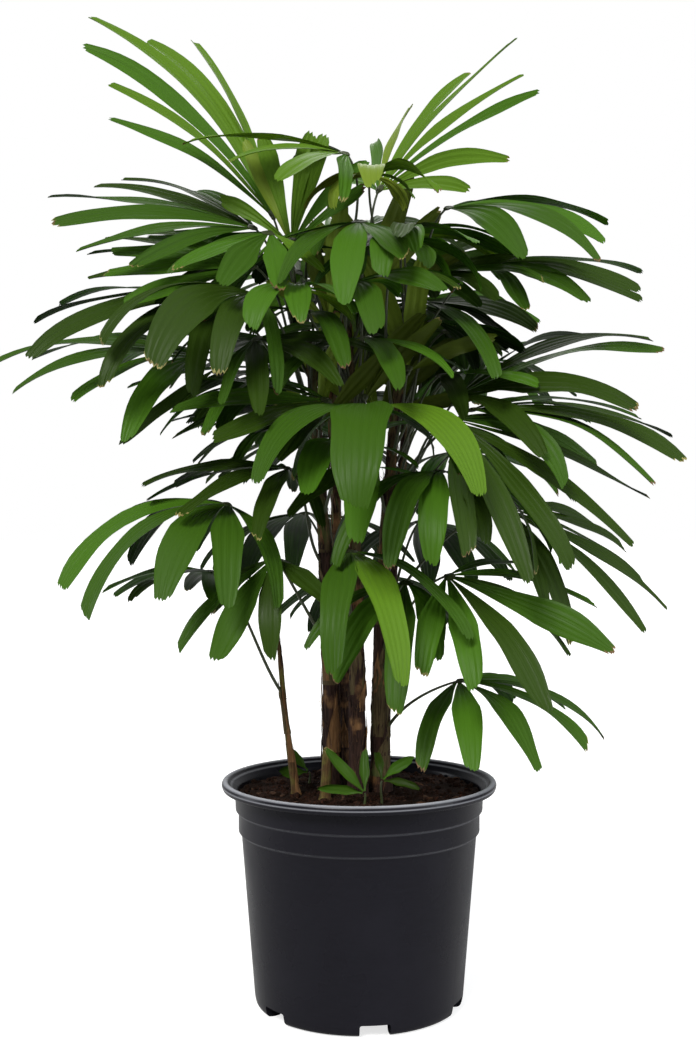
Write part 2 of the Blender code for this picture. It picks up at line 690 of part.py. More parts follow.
def main():
    """Empty the scene and build the palm."""
    for old in list(bpy.data.objects):
        bpy.data.objects.remove(old)
    parts = new_collection("lady_palm")
    cutters = new_collection("cutters")
    add_pot(parts, cutters)
    turned("soil", soil_profile(), parts)
    obstacles = [rim_tree()]
    for cane in CANES:
        rings = cane_rings(cane)
        add_part(cane.name, loft(cane.name, rings), "cane", parts)
        obstacles.append(tree_of(rings))
    for name, plan in plan_fronds(obstacles).items():
        add_frond(name, *plan, parts)


if __name__ == "__main__":
    main()
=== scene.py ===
"""Lady palm in a plain nursery pot, dressed for a render.

Laid out as a Blender add-on and run as a script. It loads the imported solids, then builds the
fine pieces that stand for them: the turned pot, the peat, the canes with their fibrous bark,
the stalks with their sheaths, and the pleated leaflets. Metres, +Z up, the viewer on the -Y side.
"""
import functools
import math
import random
from collections import namedtuple

import bmesh
import bpy
import numpy as np
from bpy.props import FloatProperty, FloatVectorProperty, IntProperty, PointerProperty
from mathutils import Matrix, Quaternion, Vector, noise
from mathutils.bvhtree import BVHTree


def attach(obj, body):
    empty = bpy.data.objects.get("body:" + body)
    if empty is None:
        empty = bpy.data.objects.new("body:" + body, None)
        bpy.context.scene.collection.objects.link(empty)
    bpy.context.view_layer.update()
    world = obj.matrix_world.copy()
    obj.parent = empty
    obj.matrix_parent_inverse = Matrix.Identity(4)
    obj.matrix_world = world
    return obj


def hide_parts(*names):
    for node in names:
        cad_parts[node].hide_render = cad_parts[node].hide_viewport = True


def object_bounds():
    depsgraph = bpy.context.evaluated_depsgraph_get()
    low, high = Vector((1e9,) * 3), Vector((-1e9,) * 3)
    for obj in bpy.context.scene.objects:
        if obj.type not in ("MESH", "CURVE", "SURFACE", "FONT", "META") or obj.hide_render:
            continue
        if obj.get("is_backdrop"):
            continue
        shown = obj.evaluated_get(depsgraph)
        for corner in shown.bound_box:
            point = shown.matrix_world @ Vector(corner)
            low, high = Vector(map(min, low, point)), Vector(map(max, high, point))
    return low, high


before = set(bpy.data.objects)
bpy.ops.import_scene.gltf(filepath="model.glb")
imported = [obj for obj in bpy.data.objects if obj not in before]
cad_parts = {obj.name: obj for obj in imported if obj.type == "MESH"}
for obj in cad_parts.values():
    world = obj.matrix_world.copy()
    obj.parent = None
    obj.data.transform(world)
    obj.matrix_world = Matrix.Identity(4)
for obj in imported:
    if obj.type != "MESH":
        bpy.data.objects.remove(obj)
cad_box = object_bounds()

bl_info = {
    "name": "Lady Palm",
    "version": (1, 0, 0),
    "blender": (4, 5, 0),
    "location": "View3D > Sidebar > Lady Palm",
    "description": "Builds a potted lady palm around its packed solids",
    "category": "Add Mesh",
}

# The gap that neighbouring solids keep
CLEAR = 0.0003

# Pot: a turned shell with a rolled lip, two stepped bands below it and a foot ring with notches
ROUND_STEPS = 36
POT_HEIGHT = 0.2275
WALL = 0.0022
LIP_RADIUS = 0.1407
LIP_WIDTH = 0.0075
LIP_HEIGHT = 0.0095
LIP_ROUND = 0.0015
BAND_RADIUS = 0.1263
BAND_STEP = 0.0030
BAND_DEPTH = 0.0215
BAND_SLOPE = 0.0008
HEEL_RADIUS = 0.1066
HEEL_HEIGHT = 0.0090
HEEL_ROUND = 0.0040
FOOT_RADIUS = 0.0965
FOOT_WIDTH = 0.0075
FLOOR_RADIUS = 0.0615
FLOOR_STEP = 0.0120
FLOOR_THICKNESS = 0.0030
NOTCHES = 6
NOTCH_WIDTH = 0.030
NOTCH_HEIGHT = 0.0125
NOTCH_LENGTH = 0.031
NOTCH_TURN = -82.0

# Soil
SOIL_TOP = 0.2135

# Canes
CANE_SIDES = 8
CANE_STATIONS = 6
FLARE_SHARE = 0.06
FLARE = 0.22
CANE_TAPER = 1.5

# Stalks: three-sided, from a flat seat on a cane to the hub
SEAT_CLEAR = 0.0006
STALK_RADIUS = 0.0020
STALK_STATIONS = 5
STALK_THICK = 1.15
STALK_THIN = 0.80
STALK_RISE = 1.5
STALK_LEAVE = 0.35
STALK_ARRIVE = 0.30

# Hubs and leaflets
HUB_SIDES = 6
HUB_RADIUS = 0.0080
HUB_THICKNESS = 0.0036
ROOT_REACH = 0.0062
ROOT_WIDTH = 0.0022
ROOT_KEEL = 0.0012
KEEL_SHARE = 0.011
MIN_KEEL = 0.0022
ROOT_SHARE = 0.1
FULL_BY = 0.55
LONG_LEAFLET = 0.17
LATE_RING = 0.05
WEDGE_SHARE = 0.42
TIP_START = 0.72
TIP_WIDTH = 0.44
STRAP_START = 0.40
STRAP_TAPER = 0.24
OUTER_SHORTER = 0.20
OUTER_NARROWER = 0.28
BEND_STEPS = 40
BEND_POWER = 1.2
BEND_MOST = 0.9
MARGIN = 0.0007
SEED = 17

UP = Vector((0.0, 0.0, 1.0))
DOWN = -UP

# A cane's foot on the soil, its cut top, its bow halfway up, and its radii there
Cane = namedtuple("Cane", "name base top bow thick thin")
CANES = (
    Cane("cane_left", (-0.0275, 0.000), (-0.054, 0.000, 0.700), (0.006, 0.000), 0.0100, 0.0032),
    Cane("cane_middle", (-0.0020, -0.016), (-0.012, 0.004, 0.700), (0.003, 0.000), 0.0095, 0.0030),
    Cane("cane_right", (0.0230, 0.004), (0.047, 0.000, 0.690), (-0.009, 0.000), 0.0100, 0.0032),
    Cane("cane_far_left", (-0.0130, 0.040), (-0.030, 0.090, 0.660), (0.000, 0.000), 0.0090, 0.0030),
    Cane("cane_far_right", (0.0220, 0.045), (0.055, 0.085, 0.620), (-0.004, 0.000), 0.0090, 0.0030),
    Cane("cane_young", (-0.0640, -0.012), (-0.083, -0.020, 0.385), (-0.002, 0.000), 0.0044, 0.0018),
    Cane("cane_stub", (-0.0340, -0.040), (-0.032, -0.043, 0.266), (0.000, 0.000), 0.0058, 0.0042),
)

# A frond's place and pose: the cane it grows from and the height it leaves it at, the hub of
# its fan, the way the middle leaflet points (azimuth from +X, elevation), the fan's roll about
# that way, its whole spread, and its leaflets: how many, how long, how wide, how far they sag,
# and by what share they grow longer towards one side.
Frond = namedtuple(
    "Frond", "cane leave hub azimuth elevation roll spread count length width sag skew", defaults=(0.0,)
)
FRONDS = {
    "top": (
        Frond("cane_left", 0.690, (-0.088, 0.000, 0.803), 180, 61, -40, 50, 6, 0.290, 0.029, 34, 0.16),
        Frond("cane_left", 0.670, (-0.068, -0.030, 0.768), 0, 87, 75, 84, 7, 0.132, 0.026, 6),
        Frond("cane_middle", 0.690, (-0.012, -0.045, 0.856), 198, 14, -25, 150, 6, 0.160, 0.030, 42, 0.10),
        Frond("cane_middle", 0.675, (0.0195, 0.000, 0.830), 0, 58, 30, 140, 9, 0.205, 0.027, 28),
        Frond("cane_right", 0.680, (0.010, -0.050, 0.832), 290, 15, 0, 170, 6, 0.110, 0.029, 75),
        Frond("cane_middle", 0.655, (0.044, -0.010, 0.784), 300, 5, 10, 220, 9, 0.145, 0.029, 45),
    ),
    "left": (
        Frond("cane_left", 0.655, (-0.106, -0.010, 0.790), 182, 20, -32, 100, 7, 0.212, 0.030, 30),
        Frond("cane_left", 0.640, (-0.100, 0.020, 0.768), 180, 8, -28, 140, 8, 0.195, 0.030, 18),
        Frond("cane_left", 0.655, (-0.088, -0.060, 0.775), 232, -20, -20, 150, 6, 0.120, 0.029, 28),
        Frond("cane_left", 0.605, (-0.104, -0.035, 0.746), 190, 0, -40, 110, 7, 0.160, 0.030, 14),
        Frond("cane_left", 0.590, (-0.135, -0.020, 0.713), 185, 14, -18, 150, 7, 0.226, 0.036, 48),
        Frond("cane_left", 0.560, (-0.165, 0.030, 0.664), 183, 17, -18, 140, 7, 0.224, 0.035, 52),
        Frond("cane_left", 0.580, (-0.098, -0.070, 0.712), 215, 12, -25, 150, 6, 0.180, 0.040, 82),
        Frond("cane_left", 0.500, (-0.030, -0.060, 0.610), 196, 6, -30, 120, 5, 0.165, 0.032, 24),
        Frond("cane_left", 0.520, (-0.048, 0.020, 0.607), 182, 8, -10, 150, 6, 0.180, 0.034, 34),
        Frond("cane_left", 0.372, (-0.130, -0.050, 0.508), 210, 6, -10, 190, 8, 0.210, 0.040, 76),
        Frond("cane_young", 0.320, (-0.148, -0.030, 0.440), 195, 12, 0, 160, 5, 0.135, 0.027, 45),
        Frond("cane_left", 0.400, (-0.085, -0.080, 0.455), 242, -35, 0, 130, 5, 0.140, 0.029, 30),
        Frond("cane_left", 0.450, (-0.072, -0.010, 0.545), 190, 8, -10, 200, 8, 0.175, 0.030, 42),
        Frond("cane_far_left", 0.535, (-0.150, 0.050, 0.655), 180, -50, -75, 26, 2, 0.190, 0.022, 5),
    ),
    "right": (
        Frond("cane_right", 0.665, (0.088, -0.020, 0.808), 345, 10, 20, 150, 7, 0.200, 0.038, 50),
        Frond("cane_right", 0.645, (0.130, 0.020, 0.760), 350, 5, 18, 130, 7, 0.192, 0.033, 34),
        Frond("cane_right", 0.500, (0.104, 0.010, 0.622), 0, 38, 24, 140, 7, 0.225, 0.033, 44),
        Frond("cane_right", 0.520, (0.112, -0.030, 0.603), 352, 9, 18, 100, 6, 0.245, 0.033, 42),
        Frond("cane_right", 0.480, (0.090, -0.060, 0.592), 350, -26, 32, 130, 7, 0.225, 0.037, 26),
        Frond("cane_right", 0.430, (0.078, -0.060, 0.540), 285, 2, 0, 180, 8, 0.200, 0.030, 84),
        Frond("cane_right", 0.400, (0.150, 0.010, 0.505), 350, -20, 24, 110, 7, 0.192, 0.030, 34),
        Frond("cane_right", 0.340, (0.085, -0.070, 0.438), 335, -16, 25, 150, 7, 0.180, 0.036, 38),
        Frond("cane_right", 0.280, (0.099, -0.040, 0.332), 330, 2, 8, 170, 7, 0.165, 0.034, 60),
        Frond("cane_far_right", 0.560, (0.066, 0.030, 0.722), 300, -10, 0, 230, 9, 0.165, 0.036, 58),
    ),
    "front": (
        Frond("cane_right", 0.500, (0.008, -0.078, 0.602), 268, 8, 0, 190, 5, 0.205, 0.060, 88, -0.08),
        Frond("cane_middle", 0.380, (-0.010, -0.080, 0.462), 272, -4, 0, 180, 6, 0.190, 0.036, 80),
        Frond("cane_right", 0.360, (0.045, -0.070, 0.432), 278, -20, 0, 150, 6, 0.160, 0.031, 55),
        Frond("cane_middle", 0.620, (-0.062, -0.080, 0.716), 275, 10, 0, 190, 7, 0.115, 0.030, 75),
        Frond("cane_right", 0.600, (0.034, -0.075, 0.765), 285, 5, 0, 200, 6, 0.120, 0.030, 80),
        Frond("cane_middle", 0.560, (-0.008, -0.080, 0.722), 310, 8, 20, 170, 7, 0.135, 0.032, 50),
        Frond("cane_left", 0.540, (-0.104, -0.048, 0.672), 325, 0, 25, 150, 6, 0.150, 0.030, 38),
        Frond("cane_middle", 0.600, (0.000, -0.062, 0.785), 265, -15, 0, 200, 7, 0.150, 0.031, 58),
    ),
    "back": (
        Frond("cane_far_right", 0.610, (0.060, 0.150, 0.740), 50, 20, 0, 230, 8, 0.185, 0.042, 45),
        Frond("cane_far_left", 0.650, (-0.030, 0.160, 0.770), 100, 25, 0, 210, 8, 0.185, 0.038, 45),
        Frond("cane_far_left", 0.620, (-0.080, 0.120, 0.690), 140, 15, 0, 190, 8, 0.175, 0.036, 45),
        Frond("cane_far_right", 0.585, (0.120, 0.130, 0.670), 35, 10, 0, 190, 8, 0.175, 0.036, 50),
        Frond("cane_far_left", 0.560, (0.000, 0.190, 0.640), 85, 10, 0, 210, 8, 0.180, 0.038, 50),
        Frond("cane_far_left", 0.500, (-0.040, 0.200, 0.590), 110, 10, 0, 180, 8, 0.175, 0.036, 55),
        Frond("cane_far_right", 0.480, (0.110, 0.140, 0.570), 40, 5, 0, 190, 8, 0.180, 0.036, 55),
        Frond("cane_far_left", 0.420, (-0.060, 0.160, 0.500), 110, 0, 0, 190, 8, 0.180, 0.036, 60),
        Frond("cane_far_right", 0.400, (0.070, 0.160, 0.490), 70, -5, 0, 190, 8, 0.175, 0.036, 60),
        Frond("cane_far_left", 0.340, (0.010, 0.140, 0.430), 95, 0, 0, 170, 7, 0.155, 0.036, 65),
    ),
    "low": (
        Frond("soil", 0.0, (0.005, -0.070, 0.226), 168, 50, -65, 80, 3, 0.062, 0.013, 12),
        Frond("soil", 0.0, (0.022, -0.060, 0.236), 15, 48, 55, 90, 3, 0.050, 0.012, 45),
        Frond("soil", 0.0, (-0.052, 0.030, 0.228), 190, 30, -50, 60, 2, 0.050, 0.018, 20),
    ),
}

# Ways a leaflet may give way to what is already there: its length, turn and sag, in degrees
SHORTENINGS = (1.0, 0.88, 0.76, 0.64, 0.52)
TURNS = (0, 5, -5, 10, -10)
EXTRA_SAGS = (0, 10, -10, 22, -20)
# A stalk gives way by leaving its cane higher or lower
LEAVE_SHIFTS = (0.0, 0.008, -0.008, 0.016, -0.016, 0.026, -0.026, 0.038, -0.038)
# How far a leaflet strays by chance: its turn and twist in degrees, its length, width and sag
STRAY_TURN = 3
STRAY_TWIST = 13
EVEN_TWIST = 6
STRAY_LENGTH = (0.86, 1.06)
STRAY_WIDTH = (0.86, 1.14)
STRAY_SAG = 8

# The layer of the leaflets' flat coordinates
FLAT_MAP = "blade"

# Fine pot: how far its corners are eased, and how far the painted highlights on its lip and its bands'
# edges reach
EASE = 0.0018
EASE_MOST = 0.45
EASE_STEPS = 3
NOTCH_EASE = 0.0022
WELD = 0.00002
CREST_HIGHLIGHT = 0.0022
BAND_HIGHLIGHT = 0.0019

# Peat: its grid, and the swells and lumps of its top, each with its height and how many to a metre
SOIL_RINGS = 60
SOIL_SIDES = 160
SOIL_SWELL = 0.0030
SOIL_SWELLS = 45
SOIL_ROUGH = 0.0016
SOIL_LUMPS = 260

# Crumbs and bark chips: their length, width and height in crumb sizes, and how they lie
CRUMB_KINDS = 6
CRUMB_LUMP = 0.5
CRUMB_LUMPS = 1.3
CRUMB_SQUASH = (0.55, 1.0)
CRUMB_SPREAD = 2.2
CRUMB_SHAPE = (1.0, 1.0, 0.9)
CRUMB_LEAN = 0.6
CRUMB_RAISED = 0.25
CRUMB_EDGE = 0.004
CHIP_EVERY = 6
CHIP_SHAPE = (2.2, 1.0, 0.45)
CHIP_COLOURS = ((0.020, 0.009, 0.004), (0.075, 0.034, 0.016), (0.11, 0.045, 0.018))

# Bark: its grid, the rings that old sheaths leave round a cane, and its fibres and knots. A grain
# is how fine a relief is, round the cane and to a metre of its height.
YOUNG = ("cane_young", "cane_stub")
YOUNG_RELIEF = 0.35
BARK_SIDES = 48
YOUNG_SIDES = 24
BARK_ROW = 0.0026
BARK_SHARE = 0.955
INTERNODE = 0.030
YOUNG_INTERNODE = 0.045
RING_SLANT = 0.32
RING_WAVE = 0.10
RING_RAG = 0.25
RAG_GRAIN = (4, 30)
RING_TURNS = (2.4, 1.7)
RING_SHIFT = 0.37
RING_SWELL = 1.5
RING_EDGE = 0.93
RING_FALL = 0.07
SHEATH_STEP = 0.0011
FIBRE_RELIEF = 0.0007
FIBRE_GRAIN = (7, 22)
KNOT_RELIEF = 0.0008
KNOT_GRAIN = (1.5, 12)
TOP_CLOSES = 0.93
TOP_CLOSED = 0.85

# Leaf bases: a grid that wraps a cane and narrows to a ragged tongue
SHEATH_ROWS = 14
SHEATH_COLUMNS = 13
SHEATH_OFF = 0.0007
SHEATH_NARROWS = 0.7
SHEATH_DROOP = 0.30
SHEATH_WANDER = 0.10
SHEATH_RAG = 0.016
SHEATH_CRINKLE = 0.0004

# Old ones, the husks: how they follow each other up a cane, and the share of tan ones low and high
HUSK_SPAN = (0.030, 0.075)
HUSK_WRAP = (0.5, 1.5)
HUSK_STAND = (0.0004, 0.0028)
HUSK_TONGUE = 0.06
HUSK_STEP = (0.16, 0.34)
HUSK_SUNK = 0.004
HUSK_LAST = 0.03
HUSK_WARM_TOP = 0.34
HUSK_WARM = (0.42, 0.10)
YOUNG_WARM = 0.7
YOUNG_SPAN = 0.8
YOUNG_STAND = 0.3
YOUNG_STEP = 2.2

# Green ones, at the feet of the stalks
SHEATH_SPAN = (0.05, 0.08)
SHEATH_ABOVE = 0.010
SHEATH_WRAP = 2.6
SHEATH_STAND = 0.0015
SHEATH_TONGUE = 0.16
SHEATH_PATCHES = (0.10, 0.12, 0.03)

# Loose fibres, on the first canes
FIBRED_CANES = 5
FIBRE_STEPS = 7
FIBRE_RADIUS = 0.00022
FIBRE_REACH = 0.9
FIBRE_SPAN = (0.015, 0.055)
FIBRE_LEAN = 0.9
FIBRE_OFF = 0.0010
FIBRE_LIFT = (0.001, 0.006)

# Spears: the young leaves, still rolled up, that the canes end in
SPEAR_LENGTH = 0.085
SPEAR_YOUNG = 0.45
SPEAR_STEPS = 9
SPEAR_LEAN = 0.25
SPEAR_SUNK = 0.012
SPEAR_TAPER = 0.9
SPEAR_FLAT = 0.7

# Fine stalks: round, thicker at the foot, and begun inside what they stand on
FINE_STATIONS = 18
STALK_SIDES = 8
STALK_FOOT = 1.35
STALK_LESS = 0.5
STALK_SUNK = 0.006
STALK_DROP = 0.010
SUCKER_SUNK = 0.004
SUCKER_THIN = 0.8

# Fine hubs: a pleated plate that reaches further towards the leaflets
HUB_RINGS = 5
HUB_STEPS = 36
HUB_BACK = 0.0030
HUB_FRONT = 0.0085
HUB_OPENS = 0.5
HUB_THICK = 0.0016
HUB_RIM = 0.0002
HUB_PLEAT = 0.25

# Blades: their grid and folds, their waves, twist and sway, and their blunt and toothed ends
BLADE_FRAMES = 40
BLADE_ROWS = 18
BLADE_ROOT = 0.35
BLADE_GROWN = 0.15
BLADE_KEEL = 0.6
FOLD_WIDTH = 0.0076
FEWEST_FOLDS = 2
MOST_FOLDS = 7
PLEAT = 0.00042
PLEAT_MOST = 0.10
WAVE = 0.0022
WAVES = (0.6, 1.6)
TWIST = 0.22
TWISTS = (0.5, 1.4)
SWAY = 0.04
SWAYS = 2.3
FINE_TIP_START = 0.66
FINE_TIP_WIDTH = 0.46
TIP_ASKEW = 0.0050
TIP_ROUND = 0.0034
TOOTH = (0.0, 0.0042)
DRY_TIP = (0.001, 0.005)
DRY_SHARE = 0.28
BROWN_SHARE = 0.4

# Greens, dealt out by frond: each side's own, and the fronds that stand out from their side.
# The greens are partly the leaves' own tones, young or old, and partly painted light and shade:
# lighter greens on the top and front fronds where the light falls, and the deep green on the back,
# inner and some side fronds where shade falls. A leaflet may stray from its frond's green to the
# next darker or lighter one.
TONES = ("deep", "full", "fresh", "light", "yellow", "olive")
SIDE_TONES = {
    "top": "light", "left": "full", "right": "full", "front": "fresh", "back": "full", "low": "full",
    "core": "full", "heart": "olive",
}
ODD_TONES = {
    "deep": (
        "left_2", "left_9", "left_13", "left_14", "right_5", "right_7", "right_10", "back_5", "back_6",
        "back_8", "back_9", "back_10", "heart_6", "heart_7", "core_4", "core_5", "core_9", "core_10",
    ),
    "full": ("front_6", "front_7"),
    "fresh": ("top_3", "top_6", "left_3", "left_4", "right_1"),
    "yellow": ("top_5",),
}
STRAY_TONES = (-1, -1, 0, 0, 0, 1)
# How much paler the ribs are than their leaf, in red, green and blue, and a dried tip's spots
PALE_RIBS = (2.2, 1.8, 1.5)
DRY_SPOTS = (0.10, 0.045, 0.012)

# Inner fronds that only the fine plant has, between those of the solids, in the same terms
INNER_FRONDS = {
    "heart": (
        Frond("cane_left", 0.520, (-0.040, -0.034, 0.585), 0, 86, 80, 70, 4, 0.150, 0.026, 4),
        Frond("cane_middle", 0.540, (0.004, -0.038, 0.610), 0, 88, 80, 70, 4, 0.150, 0.026, 4),
        Frond("cane_middle", 0.600, (-0.030, -0.030, 0.690), 180, 86, -80, 80, 4, 0.130, 0.026, 4),
        Frond("cane_right", 0.560, (0.048, -0.030, 0.640), 0, 84, 80, 80, 4, 0.140, 0.026, 4),
        Frond("cane_right", 0.400, (0.046, -0.026, 0.470), 0, 88, 80, 50, 3, 0.140, 0.026, 4),
        Frond("cane_far_left", 0.580, (-0.020, 0.110, 0.640), 0, 84, 80, 110, 6, 0.160, 0.030, 8),
        Frond("cane_far_right", 0.560, (0.070, 0.110, 0.620), 0, 84, 80, 110, 6, 0.160, 0.030, 8),
        Frond("cane_middle", 0.640, (0.012, 0.045, 0.720), 0, 86, 80, 110, 6, 0.140, 0.028, 8),
        Frond("cane_middle", 0.560, (0.022, 0.045, 0.600), 0, 86, 80, 110, 6, 0.150, 0.028, 8),
    ),
    "core": (
        Frond("cane_left", 0.610, (-0.050, -0.045, 0.700), 235, 5, -10, 190, 6, 0.165, 0.030, 55),
        Frond("cane_middle", 0.570, (0.006, -0.055, 0.672), 262, -5, 0, 180, 6, 0.155, 0.030, 50),
        Frond("cane_middle", 0.620, (0.028, -0.050, 0.735), 315, 5, 10, 190, 6, 0.160, 0.030, 50),
        Frond("cane_right", 0.570, (0.075, -0.030, 0.692), 310, 10, 0, 200, 8, 0.160, 0.032, 60),
        Frond("cane_right", 0.600, (0.090, 0.030, 0.690), 340, 0, 0, 190, 8, 0.160, 0.034, 45),
        Frond("cane_middle", 0.500, (-0.025, -0.050, 0.572), 250, 0, 0, 170, 5, 0.130, 0.030, 55),
        Frond("cane_right", 0.480, (0.062, -0.045, 0.590), 300, 0, 0, 170, 6, 0.140, 0.030, 55),
        Frond("cane_left", 0.580, (-0.085, 0.020, 0.650), 190, 5, -20, 170, 7, 0.160, 0.030, 40),
        Frond("cane_left", 0.640, (-0.060, -0.010, 0.745), 200, 10, -30, 180, 7, 0.150, 0.032, 40),
        Frond("cane_right", 0.640, (0.070, 0.010, 0.745), 350, 20, 20, 180, 7, 0.150, 0.032, 45),
        Frond("cane_far_left", 0.600, (-0.050, 0.130, 0.700), 110, 15, 0, 200, 7, 0.150, 0.032, 60),
        Frond("cane_far_left", 0.520, (-0.070, 0.120, 0.600), 135, 5, 0, 190, 7, 0.150, 0.032, 55),
        Frond("cane_far_right", 0.560, (0.070, 0.130, 0.665), 80, 15, 0, 200, 7, 0.150, 0.032, 60),
        Frond("cane_far_right", 0.480, (0.090, 0.120, 0.560), 60, 5, 0, 190, 7, 0.150, 0.032, 55),
        Frond("cane_far_left", 0.640, (-0.020, 0.080, 0.780), 90, 50, 0, 200, 7, 0.130, 0.030, 50),
        Frond("cane_far_right", 0.610, (0.060, 0.080, 0.760), 60, 50, 0, 200, 7, 0.130, 0.030, 50),
        Frond("cane_middle", 0.660, (0.010, 0.050, 0.805), 80, 30, 0, 220, 8, 0.140, 0.032, 55),
        Frond("cane_left", 0.630, (-0.045, 0.060, 0.735), 120, 15, 0, 220, 8, 0.150, 0.034, 60),
        Frond("cane_right", 0.620, (0.050, 0.060, 0.720), 60, 15, 0, 220, 8, 0.150, 0.034, 60),
        Frond("cane_middle", 0.590, (0.015, 0.050, 0.690), 85, 10, 0, 200, 8, 0.150, 0.034, 60),
        Frond("cane_right", 0.550, (0.085, 0.040, 0.645), 20, 15, 0, 200, 8, 0.160, 0.034, 55),
        Frond("cane_left", 0.560, (-0.075, 0.050, 0.630), 170, 15, 0, 200, 8, 0.160, 0.034, 55),
        Frond("cane_middle", 0.640, (-0.022, -0.045, 0.762), 225, 5, -10, 190, 6, 0.150, 0.030, 45),
        Frond("cane_right", 0.655, (0.050, -0.045, 0.785), 320, 5, 10, 190, 6, 0.150, 0.030, 45),
        Frond("cane_middle", 0.480, (0.012, -0.050, 0.545), 280, -5, 0, 180, 6, 0.150, 0.032, 55),
    ),
}

# The stage: lights by kind, place, width, strength and colour
IMAGE_HEIGHT = 1039
SENSOR = 36.0
CAMERA = (-0.0113, -1.387, 0.493)
LIT_POINT = Vector((0.0, 0.0, 0.5))
SURROUND_COLOUR = (0.96, 0.98, 1.0)
BOX_TALL = 2.0
LIGHTS = (
    ("key", "SUN", (-0.5, -1.0, 1.6), 22.0, 2.9, (1.0, 0.985, 0.95)),
    ("fill", "SUN", (0.9, -0.7, 1.5), 60.0, 1.0, (1.0, 1.0, 1.0)),
    ("left box", "AREA", (-1.7, 0.25, 0.45), 0.5, 8.0, (0.93, 0.96, 1.0)),
    ("right box", "AREA", (1.6, -0.6, 0.45), 0.6, 12.0, (0.93, 0.96, 1.0)),
    ("rim box", "AREA", (0.0, 2.2, 2.6), 0.9, 12.0, (1.0, 1.0, 0.97)),
)


def level_way(turn):
    """The level direction at a turn about Z."""
    return Vector((math.cos(turn), math.sin(turn), 0.0))


def tree_of(rings):
    """A search tree over the sides of a loft, to test it against others."""
    points = [point for ring in rings for point in ring]
    sides = len(rings[0])
    faces = []
    for row in range(len(rings) - 1):
        for side in range(sides):
            low = row * sides + side
            after = row * sides + (side + 1) % sides
            faces.append((low, after, after + sides))
            faces.append((low, after + sides, low + sides))
    return BVHTree.FromPolygons(points, faces)


# Pot and soil

def pot_inside():
    """The pot's half section from the middle of its floor up the inside to the lip."""
    lip_low = POT_HEIGHT - LIP_HEIGHT
    second_low = lip_low - 2 * BAND_DEPTH
    well = FLOOR_RADIUS - FLOOR_THICKNESS
    plate = FLOOR_STEP + FLOOR_THICKNESS
    return [
        (0.0, FLOOR_THICKNESS),
        (well, FLOOR_THICKNESS),
        (well, plate),
        (HEEL_RADIUS - 1.5 * WALL, plate),
        (BAND_RADIUS - 2 * BAND_STEP - WALL, second_low),
        (BAND_RADIUS - WALL, lip_low),
        (LIP_RADIUS - LIP_WIDTH, POT_HEIGHT - 2 * LIP_ROUND),
    ]


def pot_lip():
    """The lip's half section, over its crest and down to its lower edge."""
    lip_low = POT_HEIGHT - LIP_HEIGHT
    return [
        (LIP_RADIUS - LIP_WIDTH + LIP_ROUND, POT_HEIGHT - 0.3 * LIP_ROUND),
        (LIP_RADIUS - 2 * LIP_ROUND, POT_HEIGHT),
        (LIP_RADIUS - 0.5 * LIP_ROUND, POT_HEIGHT - LIP_ROUND),
        (LIP_RADIUS, POT_HEIGHT - 3 * LIP_ROUND),
        (LIP_RADIUS - LIP_ROUND, lip_low + 0.5 * LIP_ROUND),
        (LIP_RADIUS - 2 * LIP_ROUND, lip_low),
        (BAND_RADIUS + BAND_SLOPE, lip_low + BAND_SLOPE),
    ]


def pot_outside():
    """The pot's half section down its stepped bands and wall to the middle of its underside."""
    band_low = POT_HEIGHT - LIP_HEIGHT - BAND_DEPTH
    second_low = band_low - BAND_DEPTH
    inner_foot = FOOT_RADIUS - FOOT_WIDTH
    return [
        (BAND_RADIUS, band_low + BAND_SLOPE),
        (BAND_RADIUS - BAND_STEP, band_low),
        (BAND_RADIUS - BAND_STEP, second_low + BAND_SLOPE),
        (BAND_RADIUS - 2 * BAND_STEP, second_low),
        (HEEL_RADIUS, HEEL_HEIGHT),
        (HEEL_RADIUS - 0.3 * HEEL_ROUND, 0.4 * HEEL_HEIGHT),
        (HEEL_RADIUS - HEEL_ROUND, 0.12 * HEEL_HEIGHT),
        (FOOT_RADIUS, 0.0),
        (inner_foot, 0.0),
        (inner_foot - LIP_ROUND, FLOOR_STEP),
        (FLOOR_RADIUS + LIP_ROUND, FLOOR_STEP),
        (FLOOR_RADIUS, 0.0),
        (0.0, 0.0),
    ]


def soil_profile():
    """The soil's half section: the pot's inside less a small gap, from its top to its foot."""
    heel, band, rim = pot_inside()[3:6]
    share = (SOIL_TOP - band[1]) / (rim[1] - band[1])
    top_radius = band[0] + share * (rim[0] - band[0])
    foot = heel[1] + CLEAR
    return [
        (0.0, SOIL_TOP),
        (top_radius - CLEAR, SOIL_TOP),
        (band[0] - CLEAR, band[1]),
        (heel[0] - CLEAR, foot),
        (0.0, foot),
    ]


def rim_tree():
    """A search tree over the pot's rim, a little fattened, for the leaves that hang near it."""
    rings = []
    for radius, height in pot_inside()[5:] + pot_lip():
        arm = Vector((radius + MARGIN, 0.0, height))
        turns = [2 * math.pi * step / ROUND_STEPS for step in range(ROUND_STEPS)]
        rings.append([Matrix.Rotation(turn, 3, "Z") @ arm for turn in turns])
    return tree_of(rings)


# Canes

def cane_axis(cane, share):
    """The middle of a cane at a share of its height: straight from base to top, plus its bow."""
    foot = Vector((*cane.base, SOIL_TOP + CLEAR))
    bow = 4 * share * (1 - share)
    return foot.lerp(Vector(cane.top), share) + bow * Vector((*cane.bow, 0.0))


def cane_radius(cane, share):
    """A cane's radius at a share of its height: a flare at the foot, then a taper that eases."""
    flare = FLARE * cane.thick * max(0.0, 1 - share / FLARE_SHARE)
    return cane.thin + (cane.thick - cane.thin) * (1 - share) ** CANE_TAPER + flare


